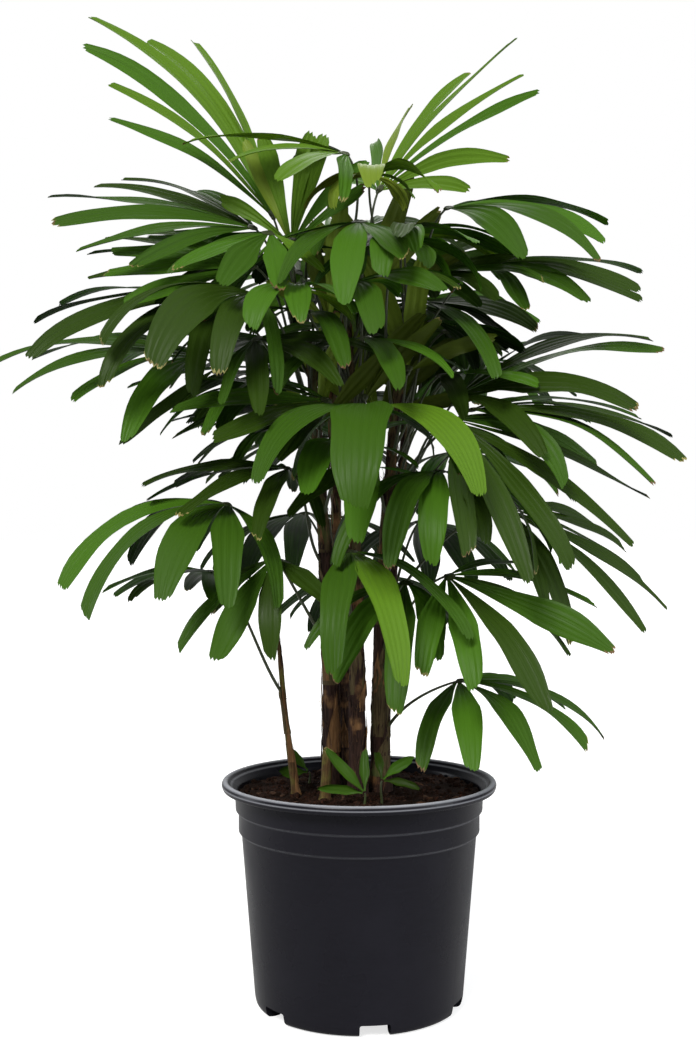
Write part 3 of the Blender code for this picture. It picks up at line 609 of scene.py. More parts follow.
def cane_rings(cane):
    """Level rings up a cane, the first two close together for the flare."""
    rings = []
    rest = [FLARE_SHARE + (1 - FLARE_SHARE) * step / CANE_STATIONS for step in range(CANE_STATIONS + 1)]
    for share in [0.0] + rest:
        middle = cane_axis(cane, share)
        radius = cane_radius(cane, share)
        ring = []
        for side in range(CANE_SIDES):
            ring.append(middle + radius * level_way(2 * math.pi * side / CANE_SIDES))
        rings.append(ring)
    return rings


# Fronds

def curve(handles, steps):
    """Points along a smooth curve of four handles."""
    points = []
    for step in range(steps):
        t = step / (steps - 1)
        weights = ((1 - t) ** 3, 3 * t * (1 - t) ** 2, 3 * t * t * (1 - t), t ** 3)
        point = Vector((0.0, 0.0, 0.0))
        for weight, handle in zip(weights, handles):
            point += weight * handle
        points.append(point)
    return points


def heading(azimuth, elevation):
    """A direction from its azimuth and elevation in degrees."""
    turn = math.radians(azimuth)
    rise = math.radians(elevation)
    return Vector((math.cos(rise) * math.cos(turn), math.cos(rise) * math.sin(turn), math.sin(rise)))


def fan_axes(frond):
    """The way a fan points, its side and its upper face's normal."""
    forward = heading(frond.azimuth, frond.elevation)
    side = forward.cross(UP).normalized()
    side.rotate(Quaternion(forward, math.radians(frond.roll)))
    return forward, side, side.cross(forward)


def stalk_seat(frond, leave):
    """Where a stalk stands on its cane's flat side, or on the soil, and the way it leaves."""
    hub = Vector(frond.hub)
    if frond.cane == "soil":
        return Vector((hub.x, hub.y, SOIL_TOP + SEAT_CLEAR)), UP
    cane = next(item for item in CANES if item.name == frond.cane)
    share = (leave - SOIL_TOP) / (cane.top[2] - SOIL_TOP)
    middle = cane_axis(cane, share)
    away = hub - middle
    flat = 2 * math.pi / CANE_SIDES
    turn = (math.floor(math.atan2(away.y, away.x) / flat) + 0.5) * flat
    outward = level_way(turn)
    flat_radius = cane_radius(cane, share) * math.cos(0.5 * flat)
    return middle + outward * (flat_radius + SEAT_CLEAR), outward


def stalk_handles(frond, seat, way):
    """The four handles of a stalk's curve from its seat to the hub."""
    hub = Vector(frond.hub)
    span = (hub - seat).length
    rise = (way + STALK_RISE * UP).normalized()
    arrive = ((hub - seat).normalized() + fan_axes(frond)[0]).normalized()
    return seat, seat + STALK_LEAVE * span * rise, hub - STALK_ARRIVE * span * arrive, hub


def stalk_rings(points, way):
    """Three-sided rings along a stalk, the first one flat against what it stands on."""
    rings = []
    last = len(points) - 1
    for index, point in enumerate(points):
        tangent = (points[min(index + 1, last)] - points[max(index - 1, 0)]).normalized()
        if index == 0:
            tangent = way
        side = tangent.cross(UP)
        if side.length < 0.05:
            side = Vector((1.0, 0.0, 0.0))
        side.normalize()
        face = side.cross(tangent)
        radius = STALK_RADIUS * (STALK_THICK + (STALK_THIN - STALK_THICK) * index / last)
        ring = []
        for corner in range(3):
            turn = 2 * math.pi * corner / 3 + math.pi / 2
            ring.append(point + radius * (math.cos(turn) * side + math.sin(turn) * face))
        rings.append(ring)
    return rings


def hub_shape(frond):
    """The flat hub that a fan's leaflets are joined to."""
    forward, side, normal = fan_axes(frond)
    place = Matrix((forward, side, normal)).transposed().to_4x4()
    place.translation = Vector(frond.hub)
    shape = bmesh.new()
    bmesh.ops.create_cone(
        shape, cap_ends=True, segments=HUB_SIDES, radius1=HUB_RADIUS, radius2=HUB_RADIUS,
        depth=HUB_THICKNESS, matrix=place,
    )
    bmesh.ops.recalc_face_normals(shape, faces=shape.faces)
    return shape


Leaflet = namedtuple("Leaflet", "start way across length width sag wedge")


def leaflet_width(leaflet, share):
    """A leaflet's width at a share of its length: a wedge from the hub, a slim strap, a blunt tip."""
    tip = max(0.0, (share - TIP_START) / (1 - TIP_START))
    slim = max(0.0, (share - STRAP_START) / (1 - STRAP_START))
    strap = leaflet.width * (1 - STRAP_TAPER * slim) * (1 - (1 - TIP_WIDTH) * tip ** 2)
    wedge = ROOT_WIDTH + 2 * math.tan(leaflet.wedge) * (share * leaflet.length - ROOT_REACH)
    return min(strap, max(ROOT_WIDTH, wedge))


def leaflet_shares(leaflet):
    """The shares of its length at which a leaflet's rings lie, from its root in the hub."""
    root = ROOT_REACH / leaflet.length
    full = root + 0.5 * (leaflet.width - ROOT_WIDTH) / math.tan(leaflet.wedge) / leaflet.length
    full = min(full, FULL_BY)
    if leaflet.length > LONG_LEAFLET:
        late = TIP_START + LATE_RING
        return (root, full, 0.5 * (full + late), late, 1.0)
    return (root, full, TIP_START, 1.0)


def leaflet_stations(leaflet, shares):
    """Points, across vectors and normals of a leaflet whose way bends towards the ground."""
    most = BEND_MOST * leaflet.way.angle(DOWN)
    axis = leaflet.way.cross(DOWN)
    point = leaflet.start.copy()
    wanted = list(shares)
    stations = []
    for step in range(BEND_STEPS + 1):
        t = step / BEND_STEPS
        bend = min(math.radians(leaflet.sag) * t ** BEND_POWER, most)
        turn = Quaternion(axis, bend)
        way = turn @ leaflet.way
        across = turn @ leaflet.across
        while wanted and wanted[0] < t + 0.5 / BEND_STEPS:
            share = wanted.pop(0)
            place = point + way * (share - t) * leaflet.length
            stations.append((share, place, across, across.cross(way)))
        point += way * leaflet.length / BEND_STEPS
    return stations


def keel_depth(leaflet, share):
    """How far a leaflet's keel lies below its edges, less at the root."""
    return ROOT_KEEL if share < ROOT_SHARE else max(MIN_KEEL, KEEL_SHARE * leaflet.length)


def leaflet_hull(leaflet, shares):
    """A leaflet's rings with a margin all round, for the test against its neighbours."""
    rings = []
    for share, point, across, face in leaflet_stations(leaflet, shares):
        half = 0.5 * leaflet_width(leaflet, share) + MARGIN
        keel = keel_depth(leaflet, share) + MARGIN
        left = point - half * across
        right = point + half * across
        rise = MARGIN * face
        rings.append([left - rise, left + rise, right + rise, right - rise, point - keel * face])
    return rings


def leaflet_trees(leaflet):
    """Search trees for a leaflet: its solid, and the smooth blade it stands for."""
    even = [0.04 + 0.12 * step for step in range(9)]
    return [tree_of(leaflet_hull(leaflet, shares)) for shares in (leaflet_shares(leaflet), even)]


def fan_leaflet(frond, place, turn, extra_sag, shortening, chance):
    """One leaflet of a fan, at its place from -1 to 1 across it."""
    forward, side, normal = fan_axes(frond)
    angle = math.radians(0.5 * frond.spread * place + turn + chance["turn"])
    way = math.cos(angle) * forward + math.sin(angle) * side
    across = way.cross(normal).normalized()
    across.rotate(Quaternion(way, math.radians(chance["twist"])))
    outer = abs(place)
    share = 1 - OUTER_SHORTER * outer * outer + frond.skew * place
    length = frond.length * share * chance["length"] * shortening
    width = frond.width * (1 - OUTER_NARROWER * outer) * chance["width"]
    sag = max(0.0, frond.sag + extra_sag + chance["sag"])
    wedge = math.radians(WEDGE_SHARE * frond.spread / (frond.count - 1))
    return Leaflet(Vector(frond.hub), way, across, length, width, sag, wedge)


def touches(tree, others):
    """Whether a search tree cuts any other."""
    return any(tree.overlap(other) for other in others)


def plan_stalk(frond, standing):
    """A stalk that is clear of the canes and the stalks before it."""
    hub = BVHTree.FromBMesh(hub_shape(frond))
    for shift in LEAVE_SHIFTS:
        seat, way = stalk_seat(frond, frond.leave + shift)
        rings = stalk_rings(curve(stalk_handles(frond, seat, way), STALK_STATIONS), way)
        stalk = tree_of(rings)
        if not touches(stalk, standing) and not touches(hub, standing):
            return rings, [stalk, hub]
    return None, None


def leaflet_trials(frond, place, chance):
    """The leaflet at a place in a fan as it would like to be, then the ways it may give way."""
    for shortening in SHORTENINGS:
        for turn in TURNS:
            for extra_sag in EXTRA_SAGS:
                yield fan_leaflet(frond, place, turn, extra_sag, shortening, chance)


def plan_leaflets(frond, standing, chances):
    """A frond's leaflets, each one clear of everything that stands before it."""
    leaflets = []
    trees = []
    for index in range(frond.count):
        twist = EVEN_TWIST if index % 2 else -EVEN_TWIST
        chance = {
            "turn": chances.uniform(-STRAY_TURN, STRAY_TURN),
            "twist": chances.uniform(-STRAY_TWIST, STRAY_TWIST) + twist,
            "length": chances.uniform(*STRAY_LENGTH),
            "width": chances.uniform(*STRAY_WIDTH),
            "sag": chances.uniform(-STRAY_SAG, STRAY_SAG),
        }
        for trial in leaflet_trials(frond, 2 * index / (frond.count - 1) - 1, chance):
            shapes = leaflet_trees(trial)
            if not any(touches(shape, standing) for shape in shapes):
                leaflets.append(trial)
                trees += shapes
                break
    return leaflets, trees


def plan_stalks(table, obstacles, stalks):
    """Adds a table's stalks to those that stand, each one clear of them."""
    for side, rows in table.items():
        for index, frond in enumerate(rows):
            standing = obstacles + [tree for plan in stalks.values() for tree in plan[2]]
            rings, trees = plan_stalk(frond, standing)
            if rings:
                stalks[f"frond_{side}_{index + 1}"] = (frond, rings, trees)


def plan_fronds(obstacles):
    """Every frond's stalk and leaflets, the solids' own first and then the inner ones."""
    chances = random.Random(SEED)
    stalks, plans, leaf_trees = {}, {}, []
    for table in (FRONDS, INNER_FRONDS):
        plan_stalks(table, obstacles, stalks)
        for name, (frond, rings, _) in stalks.items():
            if name not in plans:
                others = [tree for other, plan in stalks.items() if other != name for tree in plan[2]]
                leaflets, trees = plan_leaflets(frond, obstacles + others + leaf_trees, chances)
                leaf_trees += trees
                plans[name] = (frond, rings, leaflets)
    return plans


@functools.cache
def planned():
    """The fronds as the solids have them and then the finer inner ones, worked out once."""
    return plan_fronds([rim_tree()] + [tree_of(cane_rings(cane)) for cane in CANES])


# Meshes

class Pile:
    """Points, faces and flat coordinates gathered for one joined piece."""

    def __init__(self):
        self.points = []
        self.faces = []
        self.flat = []
        self.size = 0

    def add(self, points, faces, flat=None):
        """Adds a shape: its points, its faces over them, and each point's place on the flat blade."""
        points = np.asarray(points, float).reshape(-1, 3)
        used = np.unique([corner for face in faces for corner in face])
        place = np.full(len(points), -1)
        place[used] = np.arange(len(used)) + self.size
        self.points.append(points[used])
        self.faces += [tuple(place[list(face)].tolist()) for face in faces]
        self.flat.append(np.zeros((len(used), 2)) if flat is None else np.asarray(flat)[used])
        self.size += len(used)

    def piece(self, name, material, slot, nodes=(), sharp=60):
        """The gathered shapes as one piece that rides on the part and stands for its nodes."""
        mesh = bpy.data.meshes.new(name)
        points = np.concatenate(self.points)
        mesh.from_pydata(points.tolist(), [], self.faces)
        mesh.materials.append(material)
        flat = np.concatenate(self.flat)
        if flat.any():
            corners = np.empty(len(mesh.loops), np.int32)
            mesh.loops.foreach_get("vertex_index", corners)
            layer = mesh.uv_layers.new(name=FLAT_MAP)
            layer.uv.foreach_set("vector", flat[corners].astype(np.float32).ravel())
        return finish_piece(name, mesh, nodes, sharp)


def finish_piece(name, mesh, nodes=(), sharp=60):
    """A smooth-shaded object of a mesh, riding on the part."""
    mesh.shade_smooth()
    mesh.set_sharp_from_angle(angle=math.radians(sharp))
    made = bpy.data.objects.new(name, mesh)
    bpy.context.scene.collection.objects.link(made)
    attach(made, "root")
    if nodes:
        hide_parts(*nodes)
    return made


def grid_faces(rows, columns, closed=False):
    """The faces of a grid of points, its last column joined to its first if it is closed."""
    faces = []
    for row in range(rows - 1):
        for column in range(columns if closed else columns - 1):
            after = (column + 1) % columns
            low = row * columns
            faces.append((low + column, low + after, low + columns + after, low + columns + column))
    return faces


def capped_faces(rows, sides):
    """The faces of a closed grid of points, with a cap at each end."""
    last = (rows - 1) * sides
    caps = [tuple(range(sides))[::-1], tuple(range(last, last + sides))]
    return grid_faces(rows, sides, True) + caps


def tube(points, radii, sides, flat=1.0):
    """A capped tube along points, as points and faces, its section squashed by flat."""
    side = None
    rings = []
    for index, point in enumerate(points):
        ahead = points[min(index + 1, len(points) - 1)] - points[max(index - 1, 0)]
        way = ahead.normalized()
        if side is None:
            side = way.orthogonal().normalized()
        side = (side - way * side.dot(way)).normalized()
        face = way.cross(side)
        for corner in range(sides):
            turn = 2 * math.pi * corner / sides
            rings.append(point + radii[index] * (math.cos(turn) * side + flat * math.sin(turn) * face))
    return rings, capped_faces(len(points), sides)


# Materials

def put(tree, kind, inputs=(), **settings):
    """A node with its settings, and its inputs given by name or number."""
    node = tree.nodes.new(kind)
    for name, value in settings.items():
        setattr(node, name, value)
    for name, value in dict(inputs).items():
        if isinstance(value, bpy.types.NodeSocket):
            tree.links.new(value, node.inputs[name])
        else:
            node.inputs[name].default_value = value
    return node


def group_sockets(tree, inputs, outputs):
    """A node group's sockets, its inputs with their defaults, and the nodes that stand for them."""
    for name, kind, value in inputs:
        socket = tree.interface.new_socket(name=name, in_out="INPUT", socket_type=kind)
        socket.default_value = value
    for name in outputs:
        tree.interface.new_socket(name=name, in_out="OUTPUT", socket_type="NodeSocketFloat")
    return tree.nodes.new("NodeGroupInput"), tree.nodes.new("NodeGroupOutput")


@functools.cache
def streaks():
    """Group: fine lines along a surface, as in fibre, veins and scuffs."""
    tree = bpy.data.node_groups.new("streaks", "ShaderNodeTree")
    given, out = group_sockets(tree, (
        ("Coordinates", "NodeSocketVector", (0.0, 0.0, 0.0)),
        ("Lines per metre", "NodeSocketVector", (500.0, 500.0, 20.0)),
        ("Contrast", "NodeSocketFloat", 0.2),
    ), ("Mask",))
    stretched = put(tree, "ShaderNodeVectorMath", {
        0: given.outputs["Coordinates"], 1: given.outputs["Lines per metre"]}, operation="MULTIPLY")
    lines = put(tree, "ShaderNodeTexNoise", {
        "Vector": stretched.outputs[0], "Scale": 1.0, "Detail": 3.0, "Roughness": 0.6})
    low = put(tree, "ShaderNodeMath", {0: 0.5, 1: given.outputs["Contrast"]}, operation="SUBTRACT")
    high = put(tree, "ShaderNodeMath", {0: 0.5, 1: given.outputs["Contrast"]}, operation="ADD")
    mask = put(tree, "ShaderNodeMapRange", {
        "Value": lines.outputs["Fac"], "From Min": low.outputs[0], "From Max": high.outputs[0]})
    tree.links.new(mask.outputs[0], out.inputs["Mask"])
    return tree


@functools.cache
def blotches():
    """Group: soft patches, as in growth, dust and damp."""
    tree = bpy.data.node_groups.new("blotches", "ShaderNodeTree")
    given, out = group_sockets(tree, (
        ("Coordinates", "NodeSocketVector", (0.0, 0.0, 0.0)),
        ("Patches per metre", "NodeSocketFloat", 20.0),
        ("Low", "NodeSocketFloat", 0.4),
        ("High", "NodeSocketFloat", 0.6),
    ), ("Mask",))
    noise_node = put(tree, "ShaderNodeTexNoise", {
        "Vector": given.outputs["Coordinates"], "Scale": given.outputs["Patches per metre"],
        "Detail": 4.0, "Roughness": 0.55})
    mask = put(tree, "ShaderNodeMapRange", {
        "Value": noise_node.outputs["Fac"], "From Min": given.outputs["Low"],
        "From Max": given.outputs["High"]}, interpolation_type="SMOOTHSTEP")
    tree.links.new(mask.outputs[0], out.inputs["Mask"])
    return tree


def use_group(tree, group, **inputs):
    """A node group placed in a material, and its mask."""
    node = tree.nodes.new("ShaderNodeGroup")
    node.node_tree = group
    for name, value in inputs.items():
        socket = node.inputs[name.replace("_", " ")]
        if isinstance(value, bpy.types.NodeSocket):
            tree.links.new(value, socket)
        else:
            socket.default_value = value
    return node.outputs["Mask"]


def blend(tree, mask, low, high):
    """Two colours mixed by a mask."""
    node = put(tree, "ShaderNodeMix", data_type="RGBA")
    tree.links.new(mask, node.inputs[0])
    for socket, value in ((node.inputs[6], low), (node.inputs[7], high)):
        if isinstance(value, bpy.types.NodeSocket):
            tree.links.new(value, socket)
        else:
            socket.default_value = (*value, 1.0)
    return node.outputs[2]


def spread(tree, mask, low, high):
    """A number from low to high by a mask."""
    return put(tree, "ShaderNodeMapRange", {"Value": mask, "To Min": low, "To Max": high}).outputs[0]


def bumped(tree, height, strength, distance):
    """A normal from a height."""
    return put(tree, "ShaderNodeBump", {
        "Height": height, "Strength": strength, "Distance": distance}).outputs["Normal"]


def new_material(name, sheen=0.5):
    """A material with its tree and its object coordinates."""
    made = bpy.data.materials.new(name)
    made.use_nodes = True
    tree = made.node_tree
    tree.nodes["Principled BSDF"].inputs["Specular IOR Level"].default_value = sheen
    return made, tree, put(tree, "ShaderNodeTexCoord").outputs["Object"]


def coat(made, **looks):
    """Links what a material's shader takes, such as its colour, and returns the material."""
    shader = made.node_tree.nodes["Principled BSDF"]
    for name, socket in looks.items():
        made.node_tree.links.new(socket, shader.inputs[name.replace("_", " ")])
    return made


def shaded(colour, share):
    """A colour made darker or lighter by a share."""
    return tuple(min(1.0, part * share) for part in colour)


def near(tree, value, place, width, most):
    """A mask that is highest where a value is at its place, and none at a width from it."""
    away = put(tree, "ShaderNodeMath", {0: value, 1: place}, operation="SUBTRACT").outputs[0]
    far = put(tree, "ShaderNodeMath", {0: away}, operation="ABSOLUTE").outputs[0]
    return put(tree, "ShaderNodeMapRange", {
        "Value": far, "From Max": width, "To Min": most, "To Max": 0.0}).outputs[0]


def plastic_material(settings):
    """Black moulded plastic: a soft grain, scuffs round the wall, dust, and painted highlights as pale
    rings on the lip and along the bands' edges.
    """
    made, tree, where = new_material("nursery_pot_plastic", sheen=0.13)
    scuffs = use_group(tree, streaks(), Coordinates=where, Lines_per_metre=(60.0, 60.0, 900.0),
                       Contrast=0.16)
    dust = use_group(tree, blotches(), Coordinates=where, Patches_per_metre=14.0, Low=0.42, High=0.75)
    grain = put(tree, "ShaderNodeTexNoise", {"Vector": where, "Scale": 2600.0, "Detail": 2.0})
    colour = tuple(settings.colour)
    dust_and_highlights = blend(tree, dust, blend(tree, scuffs, colour, shaded(colour, 1.2)), shaded(colour, 1.3))
    height = put(tree, "ShaderNodeSeparateXYZ", {0: where}).outputs["Z"]
    band_low = POT_HEIGHT - LIP_HEIGHT - BAND_DEPTH
    # Painted highlights: thin pale rings on the lip's crest, halfway down the lip, and along the lower
    # edges of the two bands
    for place, width, most, pale in (
            (POT_HEIGHT, CREST_HIGHLIGHT, 1.0, settings.crest_highlight_colour),
            (POT_HEIGHT - LIP_HEIGHT / 2, CREST_HIGHLIGHT / 2, 0.5, settings.crest_highlight_colour),
            (band_low, BAND_HIGHLIGHT, 0.35, settings.band_highlight_colour),
            (band_low - BAND_DEPTH, BAND_HIGHLIGHT, 0.3, settings.band_highlight_colour)):
        dust_and_highlights = blend(tree, near(tree, height, place, width, most), dust_and_highlights, tuple(pale))
    return coat(made, Base_Color=dust_and_highlights, Normal=bumped(tree, grain.outputs["Fac"], 0.12, 0.0002),
                Roughness=spread(tree, dust, settings.roughness, settings.roughness + 0.12))


def peat_material(name, dark, light):
    """Damp peat: dark and reddish crumbs."""
    made, tree, where = new_material(name, sheen=0.12)
    damp = use_group(tree, blotches(), Coordinates=where, Patches_per_metre=35.0, Low=0.35, High=0.65)
    crumbs = use_group(tree, blotches(), Coordinates=where, Patches_per_metre=420.0, Low=0.38, High=0.66)
    return coat(made, Base_Color=blend(tree, damp, dark, blend(tree, crumbs, dark, light)),
                Roughness=spread(tree, damp, 0.95, 0.75), Normal=bumped(tree, crumbs, 0.8, 0.0012))


def fibre_material(name, dark, light, accent, share):
    """Dry fibre along the cane: dark and light strands with patches of another colour."""
    made, tree, where = new_material(name, sheen=0.3)
    strands = use_group(tree, streaks(), Coordinates=where, Lines_per_metre=(900.0, 900.0, 45.0),
                        Contrast=0.17)
    patches = use_group(tree, blotches(), Coordinates=where, Patches_per_metre=38.0,
                        Low=0.62 - 0.25 * share, High=0.78 - 0.2 * share)
    base = blend(tree, strands, dark, light)
    patched = blend(tree, strands, shaded(accent, 0.55), accent)
    return coat(made, Base_Color=blend(tree, patches, base, patched),
                Roughness=spread(tree, strands, 0.95, 0.70), Normal=bumped(tree, strands, 0.7, 0.0008))


def stalk_material(name, colour):
    """A smooth green stalk, finely lined, darker in patches."""
    made, tree, where = new_material(name)
    lines = use_group(tree, streaks(), Coordinates=where, Lines_per_metre=(1400.0, 1400.0, 160.0),
                      Contrast=0.2)
    patches = use_group(tree, blotches(), Coordinates=where, Patches_per_metre=25.0, Low=0.35, High=0.7)
    base = blend(tree, lines, shaded(colour, 0.75), shaded(colour, 1.2))
    return coat(made, Base_Color=blend(tree, patches, base, shaded(colour, 0.6)),
                Roughness=spread(tree, lines, 0.5, 0.36), Normal=bumped(tree, lines, 0.3, 0.0003))


def leaf_material(name, colour, settings):
    """A waxy leaf: veins along the blade, a slow change of tone over it, and a duller underside."""
    made, tree, where = new_material(name, sheen=0.11)
    flat = put(tree, "ShaderNodeUVMap", uv_map=FLAT_MAP).outputs["UV"]
    veins = use_group(tree, streaks(), Coordinates=flat, Lines_per_metre=(620.0, 6.0, 0.0), Contrast=0.13)
    ribs = use_group(tree, streaks(), Coordinates=flat, Lines_per_metre=(230.0, 4.0, 0.0), Contrast=0.12)
    tone = use_group(tree, blotches(), Coordinates=where, Patches_per_metre=11.0, Low=0.38, High=0.62)
    lined = blend(tree, veins, shaded(colour, 0.42), shaded(colour, 1.28))
    pale = tuple(part * share for part, share in zip(colour, PALE_RIBS))
    ribbed = blend(tree, spread(tree, ribs, 0.0, 0.70), lined, pale)
    deep = blend(tree, veins, shaded(colour, 0.34), shaded(colour, 0.62))
    upper = blend(tree, tone, deep, ribbed)
    under = tuple(0.65 * part + 0.35 * dull for part, dull in zip(colour, settings.underside))
    behind = put(tree, "ShaderNodeNewGeometry").outputs["Backfacing"]
    dullness = spread(tree, veins, settings.roughness - 0.05, settings.roughness + 0.08)
    return coat(made, Base_Color=blend(tree, behind, upper, under), Roughness=dullness,
                Normal=bumped(tree, veins, 0.45, 0.0004))


def dry_material(name, colour):
    """A leaf's dried tip: lined, and browner in spots."""
    made, tree, where = new_material(name)
    flat = put(tree, "ShaderNodeUVMap", uv_map=FLAT_MAP).outputs["UV"]
    lines = use_group(tree, streaks(), Coordinates=flat, Lines_per_metre=(900.0, 30.0, 0.0), Contrast=0.2)
    spots = use_group(tree, blotches(), Coordinates=where, Patches_per_metre=160.0, Low=0.45, High=0.7)
    base = blend(tree, lines, shaded(colour, 0.7), shaded(colour, 1.2))
    return coat(made, Base_Color=blend(tree, spots, base, DRY_SPOTS),
                Roughness=spread(tree, lines, 0.75, 0.55), Normal=bumped(tree, lines, 0.5, 0.0004))


def floor_material(settings):
    """The pale floor, with the faintest unevenness, its shadows lifted where they are seen."""
    made, tree, where = new_material("studio_floor", sheen=0.1)
    cloud = use_group(tree, blotches(), Coordinates=where, Patches_per_metre=1.5, Low=0.2, High=0.8)
    colour = tuple(settings.floor_colour)
    tree.nodes["Principled BSDF"].inputs["Emission Color"].default_value = (1.0, 1.0, 1.0, 1.0)
    seen = put(tree, "ShaderNodeLightPath").outputs["Is Camera Ray"]
    return coat(made, Base_Color=blend(tree, cloud, shaded(colour, 0.99), colour),
                Roughness=spread(tree, cloud, 0.85, 0.8),
                Emission_Strength=spread(tree, seen, 0.0, settings.floor_glow))


# Pot

def eased(profile, reach):
    """A profile with each inner corner turned into a short curve."""
    points = [Vector(point) for point in profile]
    eased_points = [points[0]]
    for before, corner, after in zip(points, points[1:], points[2:]):
        low = corner + (before - corner) * min(EASE_MOST, reach / (before - corner).length)
        high = corner + (after - corner) * min(EASE_MOST, reach / (after - corner).length)
        for step in range(EASE_STEPS + 1):
            t = step / EASE_STEPS
            eased_points.append((1 - t) ** 2 * low + 2 * t * (1 - t) * corner + t * t * high)
    eased_points.append(points[-1])
    return eased_points


def turned_mesh(name, profile, steps):
    """A profile turned about Z."""
    shape = bmesh.new()
    line = [shape.verts.new((point[0], 0.0, point[1])) for point in profile]
    edges = [shape.edges.new(pair) for pair in zip(line, line[1:])]
    bmesh.ops.spin(shape, geom=line + edges, cent=(0, 0, 0), axis=(0, 0, 1), angle=2 * math.pi,
                   steps=steps, use_merge=True)
    bmesh.ops.remove_doubles(shape, verts=shape.verts, dist=WELD)
    bmesh.ops.recalc_face_normals(shape, faces=shape.faces)
    mesh = bpy.data.meshes.new(name)
    shape.to_mesh(mesh)
    shape.free()
    return mesh


def notch_blocks():
    """Blocks with eased edges, one for each drain notch."""
    shape = bmesh.new()
    middle = FOOT_RADIUS - FOOT_WIDTH + NOTCH_LENGTH / 2 - 2 * LIP_ROUND
    for index in range(NOTCHES):
        turn = math.radians(NOTCH_TURN + index * 360 / NOTCHES)
        place = Matrix.Rotation(turn, 4, "Z") @ Matrix.Translation((middle, 0.0, 0.0))
        size = Matrix.Diagonal((NOTCH_LENGTH, NOTCH_WIDTH, 2 * NOTCH_HEIGHT, 1.0))
        block = bmesh.ops.create_cube(shape, size=1.0, matrix=place @ size)
        edges = dict.fromkeys(edge for corner in block["verts"] for edge in corner.link_edges)
        bmesh.ops.bevel(shape, geom=list(edges), offset=NOTCH_EASE, segments=4, affect="EDGES",
                        profile=0.5)
    mesh = bpy.data.meshes.new("notch_blocks")
    shape.to_mesh(mesh)
    shape.free()
    return mesh


class PALM_OT_pot(bpy.types.Operator):
    """Turn the pot, with its rolled lip, its stepped bands and the notches in its foot ring"""

    bl_idname = "palm.pot"
    bl_label = "Pot"

    def execute(self, context):
        settings = context.scene.palm_pot
        profile = eased(pot_inside() + pot_lip() + pot_outside(), EASE)
        mesh = turned_mesh("nursery_pot", profile, settings.steps)
        made = bpy.data.objects.new("nursery_pot", mesh)
        cutter = bpy.data.objects.new("notch_blocks", notch_blocks())
        for thing in (made, cutter):
            context.scene.collection.objects.link(thing)
        cut = made.modifiers.new("notches", "BOOLEAN")
        cut.operation = "DIFFERENCE"
        cut.object = cutter
        context.view_layer.update()
        cut_pot = made.evaluated_get(context.evaluated_depsgraph_get())
        result = bpy.data.meshes.new_from_object(cut_pot)
        for thing in (made, cutter):
            bpy.data.objects.remove(thing)
        result.materials.clear()
        result.materials.append(plastic_material(settings))
        finish_piece("nursery_pot", result, ("pot",), sharp=35)
        return {"FINISHED"}


# Soil

def soil_height(x, y):
    """The height of the peat's uneven top."""
    low = noise.noise(Vector((x, y, 0.0)) * SOIL_SWELLS) * SOIL_SWELL
    fine = noise.noise(Vector((x, y, 7.0)) * SOIL_LUMPS) * SOIL_ROUGH
    return SOIL_TOP + low + fine


def soil_mesh(name):
    """The peat as one closed body, level with the pot's inside, with an uneven top."""
    profile = soil_profile()
    radius = profile[1][0]
    rings = [(radius * step / SOIL_RINGS, None) for step in range(1, SOIL_RINGS + 1)]
    rings += [(profile[2][0], profile[2][1]), (profile[3][0], profile[3][1])]
    points = [(0.0, 0.0, soil_height(0.0, 0.0))]
    for ring_radius, height in rings:
        for side in range(SOIL_SIDES):
            turn = 2 * math.pi * side / SOIL_SIDES
            x = ring_radius * math.cos(turn)
            y = ring_radius * math.sin(turn)
            points.append((x, y, soil_height(x, y) if height is None else height))
    faces = [(0, 1 + side, 1 + (side + 1) % SOIL_SIDES) for side in range(SOIL_SIDES)]
    sides = grid_faces(len(rings), SOIL_SIDES, True)
    faces += [tuple(1 + corner for corner in face) for face in sides]
    last = 1 + (len(rings) - 1) * SOIL_SIDES
    faces.append(tuple(range(last, last + SOIL_SIDES)))
    mesh = bpy.data.meshes.new(name)
    mesh.from_pydata(points, [], faces)
    return mesh


def crumb_shapes(chances):
    """A few lumpy crumbs, as points and faces."""
    shapes = []
    for _ in range(CRUMB_KINDS):
        shape = bmesh.new()
        bmesh.ops.create_icosphere(shape, subdivisions=2, radius=1.0)
        shift = Vector([chances.uniform(-9, 9) for _ in range(3)])
        squash = Vector([chances.uniform(*CRUMB_SQUASH) for _ in range(3)])
        for corner in shape.verts:
            lump = 1 + CRUMB_LUMP * noise.noise(corner.co * CRUMB_LUMPS + shift)
            corner.co = Vector(a * b for a, b in zip(corner.co * lump, squash))
        shapes.append(([corner.co.copy() for corner in shape.verts],
                       [tuple(corner.index for corner in face.verts) for face in shape.faces]))
        shape.free()
    return shapes


def crumb_place(least, shape, chances):
    """The place of a crumb on the peat, with its lean, its turn and its size along each axis."""
    radius = (soil_profile()[1][0] - CRUMB_EDGE) * math.sqrt(chances.random())
    turn = chances.uniform(0, 2 * math.pi)
    x, y = radius * math.cos(turn), radius * math.sin(turn)
    size = least * (1 + CRUMB_SPREAD * chances.random() ** 4)
    stretch = Matrix.Diagonal((*(size * part for part in shape), 1.0))
    lean = Quaternion((chances.uniform(-1, 1), chances.uniform(-1, 1), 0.0),
                      chances.uniform(0, CRUMB_LEAN))
    place = Matrix.Translation((x, y, soil_height(x, y) + CRUMB_RAISED * size)) @ lean.to_matrix().to_4x4()
    return place @ Matrix.Rotation(chances.uniform(0, 2 * math.pi), 4, "Z") @ stretch


